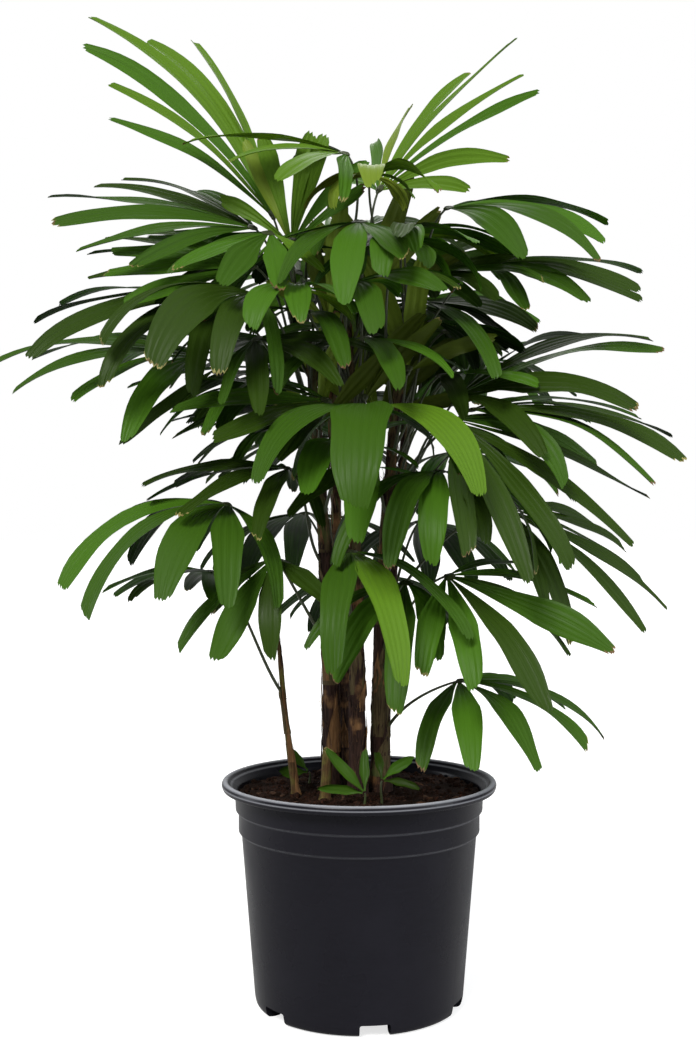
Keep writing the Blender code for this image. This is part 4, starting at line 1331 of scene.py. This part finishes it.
class PALM_OT_soil(bpy.types.Operator):
    """Fill the pot with peat, with loose crumbs and bark chips on top"""

    bl_idname = "palm.soil"
    bl_label = "Soil"

    def execute(self, context):
        settings = context.scene.palm_soil
        chances = random.Random(SEED + 1)
        dark = tuple(settings.colour)
        light = tuple(settings.light_colour)
        mesh = soil_mesh("peat")
        mesh.materials.append(peat_material("peat_fill", dark, light))
        finish_piece("peat", mesh, ("soil",))
        shapes = crumb_shapes(chances)
        crumbs, chips = Pile(), Pile()
        for index in range(settings.crumbs):
            chip = index % CHIP_EVERY == 0
            place = crumb_place(settings.crumb_size, CHIP_SHAPE if chip else CRUMB_SHAPE, chances)
            points, faces = shapes[index % len(shapes)]
            (chips if chip else crumbs).add([place @ point for point in points], faces)
        crumbs.piece("peat_crumbs", peat_material("peat_crumb", dark, light), "soil")
        chips.piece("bark_chips", fibre_material("bark_chip", *CHIP_COLOURS, 0.5), "soil")
        return {"FINISHED"}


# Canes

def bark_radius(cane, order, share, turn):
    """A cane's radius under its bark: overlapping old sheaths with ragged tops, and fibres."""
    height = share * (cane.top[2] - SOIL_TOP)
    young = cane.name in YOUNG
    around = level_way(turn)
    slant = (RING_SLANT * math.sin(turn + RING_TURNS[0] * order)
             + RING_WAVE * math.sin(3 * turn + RING_TURNS[1] * order))
    rag = RING_RAG * noise.noise(Vector((
        RAG_GRAIN[0] * math.cos(turn), RAG_GRAIN[0] * math.sin(turn), height * RAG_GRAIN[1] + order)))
    climb = height / (YOUNG_INTERNODE if young else INTERNODE) + slant + rag + RING_SHIFT * order
    part = climb - math.floor(climb)
    step = part ** RING_SWELL if part < RING_EDGE else (1 - part) / RING_FALL
    fibre_grain = noise.noise(around * FIBRE_GRAIN[0] + Vector((order, 0.0, height * FIBRE_GRAIN[1])))
    knot_grain = noise.noise(around * KNOT_GRAIN[0] + Vector((0.0, order, height * KNOT_GRAIN[1])))
    relief = SHEATH_STEP * step + FIBRE_RELIEF * fibre_grain + KNOT_RELIEF * knot_grain
    if young:
        relief *= YOUNG_RELIEF
    closing = max(0.0, (share - TOP_CLOSES) / (1 - TOP_CLOSES))
    return (BARK_SHARE * cane_radius(cane, share) + relief) * (1 - TOP_CLOSED * closing ** 3)


def bark(cane, order):
    """A cane's surface with its bark's relief, closed at both ends."""
    sides = YOUNG_SIDES if cane.name in YOUNG else BARK_SIDES
    rows = 2 + round((cane.top[2] - SOIL_TOP) / BARK_ROW)
    points = []
    for row in range(rows):
        share = row / (rows - 1)
        middle = cane_axis(cane, share)
        for side in range(sides):
            turn = 2 * math.pi * side / sides
            points.append(middle + bark_radius(cane, order, share, turn) * level_way(turn))
    return points, capped_faces(rows, sides)


def share_at(cane, height):
    """The share of a cane's height at a height."""
    return max(0.0, min(1.0, (height - SOIL_TOP) / (cane.top[2] - SOIL_TOP)))


def sheath(cane, turn, foot, top, wrap, stand, tongue, chances):
    """A leaf base: a husk that wraps its cane at the foot and narrows to a ragged tongue."""
    points = []
    phase = chances.uniform(0, 9)
    for row in range(SHEATH_ROWS):
        t = row / (SHEATH_ROWS - 1)
        half = tongue * t + wrap * (1 - t) ** SHEATH_NARROWS
        for column in range(SHEATH_COLUMNS):
            s = 2 * column / (SHEATH_COLUMNS - 1) - 1
            angle = turn + half * s + SHEATH_WANDER * noise.noise(Vector((3 * s, 5 * t, phase)))
            ragged = SHEATH_RAG * noise.noise(Vector((5 * s, phase, 0.0))) * t
            height = foot + (top - foot) * (t * (1 - SHEATH_DROOP * abs(s) ** 1.5)) + ragged
            share = share_at(cane, height)
            radius = cane_radius(cane, share) + SHEATH_OFF + stand * t ** 2 * (0.4 + 0.6 * abs(s))
            radius += SHEATH_CRINKLE * noise.noise(Vector((8 * angle, height * 30, phase)))
            middle = cane_axis(cane, share)
            points.append(Vector((middle.x, middle.y, height)) + radius * level_way(angle))
    return points, grid_faces(SHEATH_ROWS, SHEATH_COLUMNS)


def husk_piles(chances):
    """Old leaf bases up each cane, the brown ones and the tan ones apart."""
    husks = {"husks_brown": Pile(), "husks_tan": Pile()}
    low_warm, high_warm = HUSK_WARM
    for cane in CANES:
        thin = cane.name in YOUNG
        height = SOIL_TOP - HUSK_SUNK
        while height < cane.top[2] - HUSK_LAST:
            span = chances.uniform(*HUSK_SPAN) * (YOUNG_SPAN if thin else 1.0)
            warm = YOUNG_WARM if thin else low_warm if height < HUSK_WARM_TOP else high_warm
            kind = "husks_tan" if chances.random() < warm else "husks_brown"
            stand = chances.uniform(*HUSK_STAND) * (YOUNG_STAND if thin else 1.0)
            turn = chances.uniform(0, 2 * math.pi)
            wrap = chances.uniform(*HUSK_WRAP)
            husks[kind].add(*sheath(cane, turn, height, height + span, wrap, stand, HUSK_TONGUE, chances))
            height += span * chances.uniform(*HUSK_STEP) * (YOUNG_STEP if thin else 1.0)
    return husks


def fibre(cane, chances):
    """A loose strand that lies along a cane and lifts off it at its end."""
    start = SOIL_TOP + (cane.top[2] - SOIL_TOP) * chances.random() * FIBRE_REACH
    span = chances.uniform(*FIBRE_SPAN)
    turn = chances.uniform(0, 2 * math.pi)
    lean = chances.uniform(-FIBRE_LEAN, FIBRE_LEAN)
    lift = FIBRE_LIFT[0] + FIBRE_LIFT[1] * chances.random() ** 5
    points = []
    for step in range(FIBRE_STEPS):
        t = step / (FIBRE_STEPS - 1)
        height = min(start + span * t, cane.top[2])
        share = share_at(cane, height)
        radius = cane_radius(cane, share) + FIBRE_OFF + lift * t ** 3
        middle = cane_axis(cane, share)
        points.append(Vector((middle.x, middle.y, height)) + radius * level_way(turn + lean * t))
    return tube(points, [FIBRE_RADIUS] * FIBRE_STEPS, 3)


class PALM_OT_canes(bpy.types.Operator):
    """Build the canes with their bark, their old leaf bases and their loose fibres"""

    bl_idname = "palm.canes"
    bl_label = "Canes"

    def execute(self, context):
        settings = context.scene.palm_canes
        dark, light, warm, tender, fresh = (tuple(setting) for setting in (
            settings.dark_colour, settings.light_colour, settings.warm_colour,
            settings.young_colour, settings.fresh_colour))
        old, young = Pile(), Pile()
        for order, cane in enumerate(CANES):
            (young if cane.name in YOUNG else old).add(*bark(cane, order))
        grown = [cane.name for cane in CANES if cane.name not in YOUNG]
        old.piece("cane_bark", fibre_material("cane_bark", dark, light, warm, 0.3), "cane", grown)
        green = fibre_material("young_bark", shaded(tender, 0.35), tender, fresh, 0.6)
        young.piece("young_bark", green, "cane", YOUNG)
        chances = random.Random(SEED + 2)
        husks = husk_piles(chances)
        brown = fibre_material("husk_brown", dark, light, warm, 0.5)
        husks["husks_brown"].piece("husks_brown", brown, "cane")
        tan = fibre_material("husk_tan", shaded(warm, 0.35), warm, shaded(warm, 1.35), 0.4)
        husks["husks_tan"].piece("husks_tan", tan, "cane")
        fibres = Pile()
        for cane in CANES[:FIBRED_CANES]:
            for _ in range(settings.fibres):
                fibres.add(*fibre(cane, chances))
        fibres.piece("loose_fibres", fibre_material("loose_fibre", dark, light, warm, 0.7), "cane")
        return {"FINISHED"}


# Fronds

def stalk_line(frond, rings):
    """A stalk's axis with many stations, begun inside its cane, from where its solid stands."""
    seat = sum(rings[0], Vector()) / len(rings[0])
    if frond.cane == "soil":
        way = UP
        inside = seat - SUCKER_SUNK * UP
    else:
        across = (rings[0][1] - rings[0][0]).cross(rings[0][2] - rings[0][0]).normalized()
        way = Vector((across.x, across.y, 0.0)).normalized()
        if way.dot(Vector(frond.hub) - seat) < 0:
            way.negate()
        inside = seat - STALK_SUNK * way - STALK_DROP * UP
    return [inside] + curve(stalk_handles(frond, seat, way), FINE_STATIONS), way


def spear(cane, chances):
    """The youngest leaf of a cane, still rolled up: a slender point that goes on from its top."""
    way = (cane_axis(cane, 1.0) - cane_axis(cane, 0.9)).normalized()
    lean = Vector((
        chances.uniform(-SPEAR_LEAN, SPEAR_LEAN), chances.uniform(-SPEAR_LEAN, SPEAR_LEAN), 0.0))
    length = SPEAR_LENGTH * (SPEAR_YOUNG if cane.name in YOUNG else 1.0)
    points = []
    radii = []
    for step in range(SPEAR_STEPS):
        t = step / (SPEAR_STEPS - 1)
        points.append(Vector(cane.top) + length * t * (way + lean * t) - SPEAR_SUNK * (1 - t) * way)
        radii.append(cane.thin * (1 - SPEAR_TAPER * t ** 1.6))
    return tube(points, radii, STALK_SIDES, SPEAR_FLAT)


def hub_fan(frond):
    """The small pleated plate where a fan's leaflets meet, thin at its rim."""
    forward, side, normal = fan_axes(frond)
    middle = Vector(frond.hub)
    half = math.radians(0.5 * frond.spread)
    points = []
    for face in (1, -1):
        for ring in range(HUB_RINGS):
            share = ring / (HUB_RINGS - 1)
            for step in range(HUB_STEPS):
                turn = 2 * math.pi * step / HUB_STEPS - math.pi
                open_side = max(0.0, min(1.0, (half + HUB_OPENS - abs(turn)) / HUB_OPENS))
                radius = share * (HUB_BACK + (HUB_FRONT - HUB_BACK) * open_side)
                pleat = 1 + HUB_PLEAT * math.cos(turn / max(half, 0.3) * math.pi * (frond.count - 1))
                thick = (HUB_THICK * (1 - share ** 2) + HUB_RIM) * pleat
                flat = math.cos(turn) * forward + math.sin(turn) * side
                points.append(middle + radius * flat + face * thick * normal)
    faces = []
    shell = HUB_RINGS * HUB_STEPS
    for face in grid_faces(HUB_RINGS, HUB_STEPS, True):
        faces.append(face)
        faces.append(tuple(shell + corner for corner in face[::-1]))
    rim = (HUB_RINGS - 1) * HUB_STEPS
    for step in range(HUB_STEPS):
        after = (step + 1) % HUB_STEPS
        faces.append((rim + after, rim + step, shell + rim + step, shell + rim + after))
    return points, faces


class PALM_OT_stalks(bpy.types.Operator):
    """Grow the fronds' round stalks, the green sheaths at their feet and the plates at their ends"""

    bl_idname = "palm.stalks"
    bl_label = "Stalks"

    def execute(self, context):
        settings = context.scene.palm_fronds
        stalks, sheaths = Pile(), Pile()
        chances = random.Random(SEED + 3)
        for frond, rings, _ in planned().values():
            points, way = stalk_line(frond, rings)
            last = len(points) - 1
            radii = [settings.stalk_radius * (STALK_FOOT - STALK_LESS * index / last)
                     for index in range(last + 1)]
            if frond.cane == "soil":
                radii = [SUCKER_THIN * radius for radius in radii]
            stalks.add(*tube(points, radii, STALK_SIDES))
            if frond.cane == "soil":
                continue
            stalks.add(*hub_fan(frond))
            cane = next(item for item in CANES if item.name == frond.cane)
            turn = math.atan2(way.y, way.x)
            top = points[1].z + SHEATH_ABOVE
            foot = max(SOIL_TOP, top - chances.uniform(*SHEATH_SPAN))
            sheaths.add(*sheath(
                cane, turn, foot, top, SHEATH_WRAP, SHEATH_STAND, SHEATH_TONGUE, chances))
        for cane in CANES:
            if cane.name != "cane_stub":
                stalks.add(*spear(cane, chances))
        green = stalk_material("stalk_green", tuple(settings.stalk_colour))
        stalks.piece("frond_stalks", green, "frond")
        colour = tuple(settings.sheath_colour)
        husk = fibre_material("sheath_green", shaded(colour, 0.4), colour, SHEATH_PATCHES, 0.5)
        sheaths.piece("leaf_sheaths", husk, "cane")
        return {"FINISHED"}


def blade_frames(leaflet):
    """Points, across vectors and normals at even shares of a blade's length."""
    stations = leaflet_stations(leaflet, [step / BLADE_FRAMES for step in range(BLADE_FRAMES + 1)])
    return [np.array([tuple(station[part]) for station in stations]) for part in (1, 2, 3)]


def along(values, shares):
    """Values read between the even shares of a blade."""
    place = np.clip(shares, 0.0, 1.0) * BLADE_FRAMES
    low = np.minimum(place.astype(int), BLADE_FRAMES - 1)
    part = (place - low)[..., None]
    return values[low] * (1 - part) + values[low + 1] * part


def blade_half(leaflet, shares):
    """Half a blade's width at an array of shares."""
    tip = np.maximum(0.0, (shares - FINE_TIP_START) / (1 - FINE_TIP_START))
    slim = np.maximum(0.0, (shares - STRAP_START) / (1 - STRAP_START))
    strap = leaflet.width * (1 - STRAP_TAPER * slim) * (1 - (1 - FINE_TIP_WIDTH) * tip ** 2)
    wedge = ROOT_WIDTH + 2 * math.tan(leaflet.wedge) * (shares * leaflet.length - ROOT_REACH)
    return 0.5 * np.minimum(strap, np.maximum(ROOT_WIDTH, wedge))


def blade_shares(leaflet, folds, s, chances):
    """The share of its length at each point of a blade's grid, up to its toothed end."""
    fold = (s + 1) / 2 * folds
    askew = chances.uniform(-TIP_ASKEW, TIP_ASKEW)
    teeth = np.array([chances.uniform(*TOOTH) for _ in range(folds + 1)])
    notch = 0.5 + 0.5 * np.cos(2 * math.pi * fold)
    cut = teeth[np.round(fold).astype(int)] * notch + abs(askew) + askew * s + TIP_ROUND * s ** 2
    end = 1 - cut / leaflet.length
    dry = chances.uniform(*DRY_TIP) / leaflet.length
    rows = np.concatenate([np.linspace(0, 1 - dry, BLADE_ROWS), 1 - dry + dry * np.array([0.5, 1.0])])
    root = BLADE_ROOT * ROOT_REACH / leaflet.length
    return root + (end[None, :] - root) * rows[:, None]


def blade_rise(leaflet, folds, s, shares, half, chances):
    """How far a blade's points stand off it by its keel, pleats, waves and twist, and its phase."""
    grown = np.clip(shares / BLADE_GROWN, 0.0, 1.0)
    pleat = np.minimum(PLEAT, PLEAT_MOST * half) * grown
    keel = np.maximum(MIN_KEEL, KEEL_SHARE * leaflet.length)
    rise = -BLADE_KEEL * keel * grown * (1 - np.abs(s))
    rise = rise + pleat * (np.cos(2 * math.pi * ((s + 1) / 2 * folds)) - 1)
    wave, turn, phase = chances.uniform(*WAVES), chances.uniform(*TWISTS), chances.uniform(0, 6.3)
    rise += WAVE * shares * np.sin(2 * math.pi * wave * shares + phase)
    rise += TWIST * half * s * shares * np.sin(2 * math.pi * turn * shares + 2 * phase)
    return rise, phase


def blade_faces(rows, columns, chances):
    """A blade's green faces, and those of its tip where that has dried, with a stepped edge."""
    start = [BLADE_ROWS - 1 + chances.choice((0, 1, 1)) for _ in range(columns - 1)]
    if chances.random() > DRY_SHARE:
        start = [rows] * (columns - 1)
    green, dried = [], []
    for index, quad in enumerate(grid_faces(rows, columns)):
        row, column = divmod(index, columns - 1)
        (dried if row >= start[column] else green).append(quad[::-1])
    return green, dried


def blade(leaflet, chances):
    """A pleated blade: its points, its flat coordinates, and its green and its dried faces."""
    folds = max(FEWEST_FOLDS, min(MOST_FOLDS, round(leaflet.width / FOLD_WIDTH)))
    s = np.linspace(-1.0, 1.0, 4 * folds + 1)
    shares = blade_shares(leaflet, folds, s, chances)
    half = blade_half(leaflet, shares)
    rise, phase = blade_rise(leaflet, folds, s, shares, half, chances)
    points, across, face = (along(values, shares) for values in blade_frames(leaflet))
    sway = 1 + SWAY * np.sin(2 * math.pi * SWAYS * shares + phase)
    places = points + across * (s * half * sway)[..., None] + face * rise[..., None]
    shift = chances.uniform(0, 50)
    flat = np.stack([s * half + shift, shares * leaflet.length + shift], axis=-1)
    green, dried = blade_faces(len(shares), len(s), chances)
    return places.reshape(-1, 3), flat.reshape(-1, 2), green, dried


def frond_tone(name):
    """The place among TONES of a frond's green: its own if it stands out, or else its side's."""
    _, side, number = name.split("_")
    for tone, fronds in ODD_TONES.items():
        if f"{side}_{number}" in fronds:
            return TONES.index(tone)
    return TONES.index(SIDE_TONES[side])


class PALM_OT_leaflets(bpy.types.Operator):
    """Grow the pleated leaflets, their greens dealt out by frond, with their dried toothed tips"""

    bl_idname = "palm.leaflets"
    bl_label = "Leaflets"

    def execute(self, context):
        settings = context.scene.palm_fronds
        chances = random.Random(SEED + 4)
        greens = [Pile() for _ in TONES]
        nodes = [[] for _ in TONES]
        straw, brown = Pile(), Pile()
        for name, (_, _, leaflets) in planned().items():
            tone = frond_tone(name)
            if name.split("_")[1] in FRONDS:
                nodes[tone].append(name)
            for leaflet in leaflets:
                own = max(0, min(len(TONES) - 1, tone + chances.choice(STRAY_TONES)))
                points, flat, green, dried = blade(leaflet, chances)
                greens[own].add(points, green, flat)
                if dried:
                    tips = brown if chances.random() < BROWN_SHARE else straw
                    tips.add(points, dried, flat)
        for tone, pile, stood_for in zip(TONES, greens, nodes):
            green = leaf_material(f"leaflets_{tone}", tuple(getattr(settings, tone)), settings)
            pile.piece(f"leaflets_{tone}", green, "frond", stood_for, 75)
        straw.piece("tips_straw", dry_material("tip_straw", tuple(settings.tip_colour)), "frond")
        brown.piece("tips_brown", dry_material("tip_brown", tuple(settings.dry_colour)), "frond")
        return {"FINISHED"}


# Stage

def add_light(name, kind, place, size, strength, colour):
    """A light that faces the middle of the plant: a wide sun in degrees, or a tall soft box in metres."""
    lamp = bpy.data.lights.new(name, kind)
    if kind == "SUN":
        lamp.angle = math.radians(size)
    else:
        lamp.shape = "RECTANGLE"
        lamp.size = size
        lamp.size_y = BOX_TALL * size
    lamp.energy = strength
    lamp.color = colour
    made = bpy.data.objects.new(name, lamp)
    made.location = place
    made.rotation_euler = (LIT_POINT - Vector(place)).to_track_quat("-Z", "Y").to_euler()
    bpy.context.scene.collection.objects.link(made)


def surround_world(settings):
    """A plain surround: white where it is seen, and softer where it lights the plant."""
    world = bpy.data.worlds.new("studio")
    world.use_nodes = True
    tree = world.node_tree
    seen = tree.nodes["Background"]
    seen.inputs["Color"].default_value = (1.0, 1.0, 1.0, 1.0)
    lit = put(tree, "ShaderNodeBackground", {"Strength": settings.surround})
    lit.inputs["Color"].default_value = (*SURROUND_COLOUR, 1.0)
    path = put(tree, "ShaderNodeLightPath")
    mixed = put(tree, "ShaderNodeMixShader", {0: path.outputs["Is Camera Ray"]})
    tree.links.new(lit.outputs[0], mixed.inputs[1])
    tree.links.new(seen.outputs[0], mixed.inputs[2])
    tree.links.new(mixed.outputs[0], tree.nodes["World Output"].inputs["Surface"])
    return world


class PALM_OT_stage(bpy.types.Operator):
    """Set the pale floor, the soft studio lights and the camera"""

    bl_idname = "palm.stage"
    bl_label = "Stage"

    def execute(self, context):
        settings = context.scene.palm_stage
        shape = bmesh.new()
        bmesh.ops.create_circle(shape, cap_ends=True, segments=96, radius=settings.floor_radius)
        mesh = bpy.data.meshes.new("studio_floor")
        shape.to_mesh(mesh)
        shape.free()
        mesh.materials.append(floor_material(settings))
        floor = bpy.data.objects.new("studio_floor", mesh)
        context.scene.collection.objects.link(floor)
        floor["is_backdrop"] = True
        context.scene.world = surround_world(settings)
        for name, kind, place, size, strength, tint in LIGHTS:
            add_light(name, kind, place, size, strength * settings.power, tint)
        view = bpy.data.cameras.new("camera")
        view.sensor_width = SENSOR
        view.lens = SENSOR * settings.focal_pixels / IMAGE_HEIGHT
        camera = bpy.data.objects.new("camera", view)
        camera.location = CAMERA
        camera.rotation_euler = (math.radians(90), 0.0, 0.0)
        context.scene.collection.objects.link(camera)
        context.scene.camera = camera
        context.scene.view_settings.view_transform = "Standard"
        return {"FINISHED"}


# Settings that a user would change

def colour(name, description, value):
    """A colour setting."""
    return FloatVectorProperty(name=name, description=description, default=value, subtype="COLOR",
                               size=3, min=0.0, max=1.0)


class PalmPot(bpy.types.PropertyGroup):
    """The pot's finish."""

    colour: colour("Colour", "The pot's plastic", (0.0076, 0.0073, 0.0108))
    # Painted highlight along the bands' lower edges
    band_highlight_colour: colour("Worn colour", "The bands' rubbed edges", (0.210, 0.215, 0.245))
    # Painted highlight on the lip's crest and halfway down the lip
    crest_highlight_colour: colour("Crest colour", "The shine on the lip's crest", (0.400, 0.410, 0.450))
    roughness: FloatProperty(name="Roughness", description="How dull the plastic is", default=0.26,
                             min=0.05, max=1.0, subtype="FACTOR")
    steps: IntProperty(name="Steps", description="Facets round the pot", default=144, min=48, max=256)


class PalmSoil(bpy.types.PropertyGroup):
    """The peat and what lies on it."""

    colour: colour("Colour", "Damp peat", (0.012, 0.0055, 0.003))
    light_colour: colour("Light colour", "Dry peat", (0.058, 0.021, 0.011))
    crumbs: IntProperty(name="Crumbs", description="Loose crumbs and chips", default=900, min=0, max=2000)
    crumb_size: FloatProperty(name="Crumb size", description="A small crumb's radius", default=0.0016,
                              min=0.0005, max=0.005, precision=4, unit="LENGTH")


class PalmCanes(bpy.types.PropertyGroup):
    """The canes' colours and fibres."""

    dark_colour: colour("Dark colour", "The bark's grooves", (0.0075, 0.0034, 0.0024))
    light_colour: colour("Light colour", "The bark's strands", (0.050, 0.020, 0.012))
    warm_colour: colour("Warm colour", "Fresh husks", (0.27, 0.135, 0.052))
    young_colour: colour("Young colour", "The young cane", (0.120, 0.062, 0.022))
    fresh_colour: colour("Fresh colour", "The young cane's green patches", (0.165, 0.150, 0.028))
    fibres: IntProperty(name="Fibres", description="Loose strands on a cane", default=110, min=0, max=400)


class PalmFronds(bpy.types.PropertyGroup):
    """The stalks' and leaflets' sizes and colours."""

    stalk_radius: FloatProperty(name="Stalk radius", description="A stalk's radius halfway up",
                                default=0.0013, min=0.0005, max=0.003, precision=4, unit="LENGTH")
    stalk_colour: colour("Stalk colour", "Stalks and the plates at their ends", (0.040, 0.055, 0.014))
    sheath_colour: colour("Sheath colour", "The sheaths at the stalks' feet", (0.12, 0.085, 0.035))
    # Dealt out by frond, the deep green is partly painted shade on the back and inner fronds, and the
    # fresh and light greens partly painted light on the front and top fronds
    deep: colour("Deep green", "The darkest leaves", (0.010, 0.033, 0.0016))
    full: colour("Full green", "Most leaves", (0.026, 0.088, 0.0045))
    fresh: colour("Fresh green", "Younger leaves", (0.048, 0.152, 0.0070))
    light: colour("Light green", "Leaves in the light", (0.100, 0.218, 0.0110))
    olive: colour("Olive", "Inner leaves and their upright bases", (0.058, 0.080, 0.0045))
    yellow: colour("Yellow green", "The youngest leaves", (0.190, 0.280, 0.026))
    tip_colour: colour("Straw tip", "Tips just dried", (0.22, 0.20, 0.05))
    dry_colour: colour("Brown tip", "Tips long dried", (0.14, 0.075, 0.022))
    underside: colour("Underside", "What a leaf's underside tends to", (0.050, 0.085, 0.009))
    roughness: FloatProperty(name="Roughness", description="How dull the leaves are", default=0.40,
                             min=0.05, max=1.0, subtype="FACTOR")


class PalmStage(bpy.types.PropertyGroup):
    """The floor, the light and the lens."""

    floor_colour: colour("Floor colour", "The floor and what surrounds it", (0.50, 0.50, 0.50))
    floor_radius: FloatProperty(name="Floor radius", description="How far the floor reaches",
                                default=30.0, min=2.0, max=100.0, unit="LENGTH")
    floor_glow: FloatProperty(name="Floor glow", description="How far the floor's shadows are lifted",
                              default=0.72, min=0.0, max=1.0)
    surround: FloatProperty(name="Surround", description="The strength of the light all round",
                            default=0.34, min=0.0, max=3.0)
    power: FloatProperty(name="Power", description="The share of the lights' own strength", default=1.0,
                         min=0.0, max=5.0)
    focal_pixels: FloatProperty(name="Focal length", description="The focal length in pixels of the photo",
                                default=1350.0, min=300.0, max=5000.0)


def settings_name(group):
    """The name on the scene of a group of settings, as palm_pot for PalmPot."""
    return group.__name__.replace("Palm", "palm_").lower()


class PALM_PT_panel(bpy.types.Panel):
    """The settings and the steps, in the order in which they run"""

    bl_idname = "PALM_PT_panel"
    bl_label = "Lady Palm"
    bl_space_type = "VIEW_3D"
    bl_region_type = "UI"
    bl_category = "Lady Palm"

    def draw(self, context):
        for operators, group in STEPS:
            box = self.layout.box()
            settings = getattr(context.scene, settings_name(group))
            for name in group.__annotations__:
                box.prop(settings, name)
            for operator in operators:
                box.operator(operator.bl_idname)


STEPS = (
    ((PALM_OT_pot,), PalmPot),
    ((PALM_OT_soil,), PalmSoil),
    ((PALM_OT_canes,), PalmCanes),
    ((PALM_OT_stalks, PALM_OT_leaflets), PalmFronds),
    ((PALM_OT_stage,), PalmStage),
)


def register():
    """Registers every class and hangs the settings on the scene."""
    for operators, group in STEPS:
        bpy.utils.register_class(group)
        for operator in operators:
            bpy.utils.register_class(operator)
        setattr(bpy.types.Scene, settings_name(group), PointerProperty(type=group))
    bpy.utils.register_class(PALM_PT_panel)


def unregister():
    """Takes the settings and the classes away again."""
    bpy.utils.unregister_class(PALM_PT_panel)
    for operators, group in reversed(STEPS):
        delattr(bpy.types.Scene, settings_name(group))
        for operator in operators:
            bpy.utils.unregister_class(operator)
        bpy.utils.unregister_class(group)


def main():
    """Builds the palm step by step."""
    register()
    bpy.ops.palm.stage()
    bpy.ops.palm.pot()
    bpy.ops.palm.soil()
    bpy.ops.palm.canes()
    bpy.ops.palm.stalks()
    bpy.ops.palm.leaflets()
    boxes = {"cad": cad_box, "visual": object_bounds()}
    sizes = {name: [list(corner) for corner in box] for name, box in boxes.items()}


if __name__ == "__main__":
    main()
